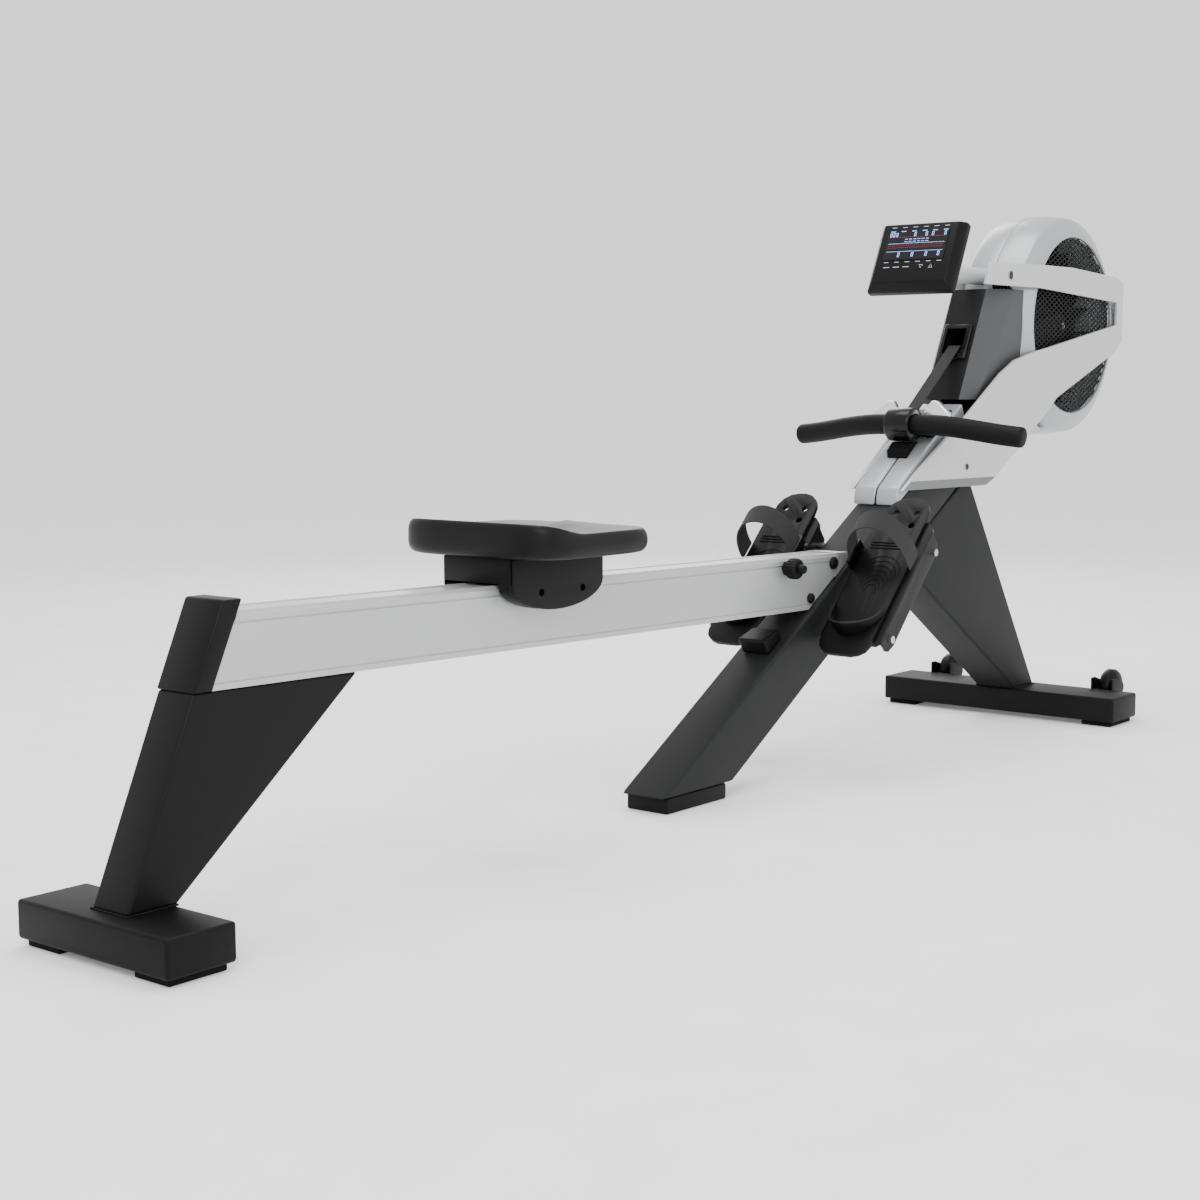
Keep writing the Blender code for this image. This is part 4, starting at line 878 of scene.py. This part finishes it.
def noughts(bm, count, left, base, size=0.0078):
    """Seven-segment noughts. The rower sees +Y on their left, so figures run towards -Y."""
    w, h, t = size * 0.5, size, size * 0.11
    bars = [(0, w, h - t, h), (w - t, w, h / 2, h), (w - t, w, 0, h / 2)]
    bars += [(0, w, 0, t), (0, t, 0, h / 2), (0, t, h / 2, h)]
    for i in range(count):
        start = left - i * size * 0.78
        for u0, u1, v0, v1 in bars:
            flat(bm, start - u0, start - u1, base + v0, base + v1)


def flat(bm, ya, yb, low, high, depth=FIGURE_DEPTH):
    corners = [(ya, low), (yb, low), (yb, high), (ya, high)]
    bm.faces.new([bm.verts.new(screen_point(depth, y, up)) for y, up in corners])


def ring_mesh(bm, outer, inner, depth):
    """A thin outline between two loops of (side, up) points."""
    a = [bm.verts.new(screen_point(depth, s, u)) for s, u in outer]
    b = [bm.verts.new(screen_point(depth, s, u)) for s, u in inner]
    for i in range(len(a)):
        j = (i + 1) % len(a)
        bm.faces.new((a[i], a[j], b[j], b[i]))


def monitor():
    rings = []
    sections = [
        (0.0, 0.0745, -0.0570, 0.0600), (0.013, 0.0868, -0.0698, 0.0638), (0.0268, 0.0868, -0.0698, 0.0638)
    ]
    for depth, half, low, high in sections:
        corners = [(-half, low), (half, low), (half, high), (-half, high)]
        rings.append([screen_point(depth, y, up) for y, up in corners])
    case = loft("case_v", rings, PLASTIC)
    put(rounded(case, 0.0030, 4, 20), "monitor", ("monitor_case",))
    back = slab("case_back", (0.0271, 0.0333), (-0.0810, 0.0810), (-0.0640, 0.0590), SILVER, 0.0020)
    put(back, "monitor", ("monitor_back",))
    for sign in (-1, 1):
        ear = [screen_point(0.0300, 0, -0.0200)[::2], *arc(TILT_AXIS, 0.0095, -95, 65, 16)]
        ear.append(screen_point(0.0300, 0, 0.0050)[::2])
        ys = sorted((sign * 0.0100, sign * 0.0140))
        put(prism("tilt_ear_%d" % sign, ear, ys[0], ys[1], SILVER, 0.0008), "monitor", ())
    face = slab("screen_v", (-0.0011, -0.0003), (-0.0615, 0.0615), (-0.0125, 0.0470), SCREEN)
    put(face, "monitor", ("monitor_screen",))
    bm = bmesh.new()
    noughts(bm, 3, 0.0575, 0.0335)
    for left in (0.0080, -0.0150, -0.0280, -0.0530):
        noughts(bm, 1, left, 0.0335)
    for k in range(6):
        for level in (0.0228, 0.0275):
            flat(bm, 0.0250 - k * 0.0085, 0.0190 - k * 0.0085, level, level + 0.0009)
        flat(bm, 0.0575 - k * 0.0215, 0.0480 - k * 0.0215, 0.0435, 0.0446)
    for left in (0.0330, 0.0050, -0.0230, -0.0480):
        noughts(bm, 1, left, -0.0070, 0.0085)
    for line in (0.0195, 0.0035):
        flat(bm, 0.0575, -0.0575, line, line + 0.0005)
    put(linked("screen_figures", bm, DIGIT), "monitor", ())
    bm = bmesh.new()
    for line in (0.0110, 0.0150, 0.0318):
        for k in range(28):
            flat(bm, 0.0570 - k * 0.0041, 0.0545 - k * 0.0041, line, line + 0.0007)
    put(linked("screen_dashes", bm, DIGIT_RED), "monitor", ())
    bm = bmesh.new()
    for side in (0.0500, 0.0300, 0.0100):
        flat(bm, side + 0.0065, side - 0.0065, -0.0275, -0.0262, PRINT_DEPTH)
    wide, level = 0.0042, -0.0268
    for side, way in ((-0.0200, -1), (-0.0400, 1)):
        foot, tip = level - way * 0.0034, level + way * 0.0038
        outer = [(side - wide, foot), (side + wide, foot), (side, tip)]
        inner = [(side + (a - side) * 0.74, level + (b - level) * 0.74) for a, b in outer]
        ring_mesh(bm, outer, inner, PRINT_DEPTH)
    for k in range(6):
        left, right = 0.0575 - k * 0.0215, 0.0480 - k * 0.0215
        flat(bm, left, right, 0.0520, 0.0531, PRINT_DEPTH)
        flat(bm, left, right, -0.0175, -0.0164, PRINT_DEPTH)
    put(linked("panel_marks", bm, PRINT), "monitor", ())
    monitor_arm()


def monitor_arm():
    round_48 = [2 * math.pi * i / 48 for i in range(48)]
    section = [(TUBE_RADIUS * math.cos(a), TILT_AXIS[1] + TUBE_RADIUS * math.sin(a)) for a in round_48]
    pipe = [[(x, y, z) for y, z in section] for x in (0.5885, 0.7900)]
    arm = loft("tube_v", pipe, SILVER_LIGHT, angle=40)
    put(rounded(arm, 0.001, 2), "frame", ("monitor_arm",))
    eye_part = arc(TILT_AXIS, 0.0085, 40, 320, 20) + [(0.5900, 0.8410), (0.5900, 0.8540)]
    put(prism("tube_eye", eye_part, -0.0096, 0.0096, SILVER), "frame", ())
    put(
        block("tube_foot", (0.770, 0.790), (-0.014, 0.014), (0.8229, 0.840), SILVER), "frame", (),
    )


# ------------------------------------------------------------------ foot rests
REST = math.radians(46.0)
REST_PLACE = (0.110, 0.1125, 0.211)


def stand(obj, sign):
    x, y, z = REST_PLACE
    obj.data.transform(Matrix.Translation((x, sign * y, z)) @ Matrix.Rotation(-REST, 4, "Y"))
    return obj


def plate_mesh(name, outline, low, high, mat, width=0.0):
    obj = loft(name, [[(x, y, z) for x, y in outline] for z in (low, high)], mat)
    return rounded(obj, width, 2) if width else obj


def foot_rests():
    for side, sign in (("left", 1), ("right", -1)):
        base = [(0.040, -0.0575), (0.270, -0.0575), (0.280, -0.0540), (0.287, -0.0470), (0.290, -0.0400)]
        base += [(0.290, 0.0400), (0.287, 0.0470), (0.280, 0.0540), (0.270, 0.0575), (0.040, 0.0575)]
        base += [(0.032, 0.0480), (0.032, -0.0480)]
        body = plate_mesh("rest_base_" + side, base, -0.0160, -0.0058, PLASTIC)
        for y in (-0.0530, 0.0530):
            rib = [
                (0.042, -0.040), (0.060, -0.046), (0.255, -0.046), (0.268, -0.040), (0.272, -0.014),
                (0.042, -0.014)
            ]
            cut(body, prism("rib", rib, y - 0.004, y + 0.004, None), "UNION")
        rounded(body, 0.0012, 2)
        put(stand(body, sign), "frame", ("foot_base_" + side,))

        half = [
            (0.0, 0.0200), (0.004, 0.0330), (0.012, 0.0430), (0.024, 0.0475), (0.120, 0.0485), (0.195, 0.0492)
        ]
        half += [(0.212, 0.0465), (0.226, 0.0430), (0.290, 0.0425), (0.308, 0.0405), (0.322, 0.0335)]
        half += [(0.331, 0.0220), (0.335, 0.0080)]
        plate = half + [(x, -y) for x, y in reversed(half)]
        sole = plate_mesh("sole_" + side, plate, -0.0055, 0.0025, PLASTIC)
        for x in (0.274, 0.300):
            for y in (-0.020, 0.020):
                turn = [2 * math.pi * k / 24 for k in range(24)]
                circle = [(x + 0.0058 * math.cos(a), y + 0.0058 * math.sin(a)) for a in turn]
                cut(sole, plate_mesh("hole", circle, -0.02, 0.02, None))
        rounded(sole, 0.0010, 2)
        put(stand(sole, sign), "foot_" + side, ("footplate_" + side,))

        bm = bmesh.new()
        for k in range(7):
            contour(bm, 0.205 - 0.010 * k, 0.0400 - 0.0048 * k, 0.088 - 0.008 * k)
        for k in range(3):
            bar(bm, 0.222 + 0.006 * k, 0.0380, 0.0012)
        lines = linked("sole_lines_" + side, bm, RUBBER)
        put(stand(lines, sign), "foot_" + side, ())

        rings = []
        for i in range(33):
            a = math.radians(-84 + 168 * i / 32)
            tall = 0.010 + 0.027 * math.cos(a) ** 2
            wall = [(0.0600, 0.0015), (0.0648, 0.0015), (0.0650, tall * 0.6), (0.0644, tall), (0.0606, tall)]
            wall.append((0.0600, tall * 0.6))
            rings.append(
                [(0.100 - reach * math.cos(a), (reach - 0.0155) * math.sin(a), lift) for reach, lift in wall]
            )
        cup = loft("heel_cup_" + side, rings, PLASTIC, angle=45)
        put(stand(cup, sign), "foot_" + side, ())

        rings = []
        for i in range(49):
            a = math.pi * i / 48
            rise = math.sin(a) ** 0.7 if 0 < i < 48 else 0.0
            y, height = -0.0560 * math.cos(a), 0.0810 * rise
            x = 0.200 + 0.020 * math.sin(a)
            out = Vector((0.0, -math.cos(a), math.sin(a) * 0.9)).normalized()
            ring = []
            for dx, thick in ((-0.0185, 0.0), (0.0185, 0.0), (0.0185, 0.0020), (-0.0185, 0.0020)):
                ring.append((x + dx, y - out.y * thick, max(height - out.z * thick, -0.0052)))
            rings.append(ring)
        band = loft("foot_band_" + side, rings, WEB, angle=30)
        uv = band.data.uv_layers.new(name="weave")
        for loop in band.data.loops:
            index = loop.vertex_index // 4
            uv.data[loop.index].uv = (index * 0.10, band.data.vertices[loop.vertex_index].co.x * 20)
        put(stand(band, sign), "frame", ("foot_strap_" + side,))
        outline = [(0.176, -0.004), (0.226, -0.004), (0.226, 0.020), (0.176, 0.020)]
        y = -sign * 0.0545
        clip = prism("buckle_" + side, outline, y - 0.0035, y + 0.0035, GLOSS)
        rounded(clip, 0.0015, 2)
        put(stand(clip, sign), "frame", ())


def contour(bm, front, half, length):
    """A raised U-shaped line on the plate."""
    points = []
    for k in range(13):
        a = math.radians(-90 + 180 * k / 12)
        points.append((front - 0.45 * length * (1 - math.cos(a)), half * math.sin(a)))
    rows = []
    for i, (x, y) in enumerate(points):
        ahead = points[min(i + 1, 12)]
        behind = points[max(i - 1, 0)]
        run = Vector((ahead[0] - behind[0], ahead[1] - behind[1])).normalized()
        side = Vector((-run.y, run.x)) * 0.0008
        section = [(x + side.x, y + side.y, 0.0024), (x, y, 0.0034), (x - side.x, y - side.y, 0.0024)]
        rows.append([bm.verts.new(corner) for corner in section])
    for first, second in zip(rows, rows[1:]):
        bm.faces.new((first[0], first[1], second[1], second[0]))
        bm.faces.new((first[1], first[2], second[2], second[1]))


def bar(bm, x, half, width):
    low, high = 0.0024, 0.0036
    corners = [(x - width, -half), (x + width, -half), (x + width, half), (x - width, half)]
    bottom = [bm.verts.new((a, b, low)) for a, b in corners]
    top = [bm.verts.new((x + (a - x) * 0.5, b, high)) for a, b in corners]
    bm.faces.new(top)
    for i in range(4):
        j = (i + 1) % 4
        bm.faces.new((bottom[i], bottom[j], top[j], top[i]))


# ------------------------------------------------------------------ everything together
def kept():
    for node, mat in (
        ("axle_plate_left", BLACK), ("axle_plate_right", BLACK), ("drive_belt", RUBBER), ("fan_axle", STEEL),
        ("fan_wheel", FAN_DARK), ("foot_rod_lower", STEEL), ("foot_rod_upper", STEEL),
        ("hinge_bracket", ALLOY),
        ("rail_rest", BLACK), ("seat_roller_front", RUBBER), ("seat_roller_rear", RUBBER),
        ("strap_drum", PLASTIC),
        ("strap_roller", RUBBER),
    ):
        keep(node, mat)


def floor():
    """A pale floor, wide enough to run out of sight."""
    reach, steps = 60.0, 64
    bm = bmesh.new()
    turn = [2 * math.pi * k / steps for k in range(steps)]
    bm.faces.new([bm.verts.new((reach * math.cos(a), reach * math.sin(a), -0.0005)) for a in turn])
    pale = shade("floor_white", (0.90, 0.90, 0.90), 0.8)
    node = pale.node_tree.nodes["Principled BSDF"]
    node.inputs["Emission Color"].default_value = (1.0, 1.0, 1.0, 1.0)
    node.inputs["Emission Strength"].default_value = 0.13
    ground = linked("floor", bm, pale, 40)


feet()
post_and_legs()
rail()
seat()
arms()
housing()
shroud()
lower_cover()
cradle()
handle()
monitor()
foot_rests()
kept()
floor()
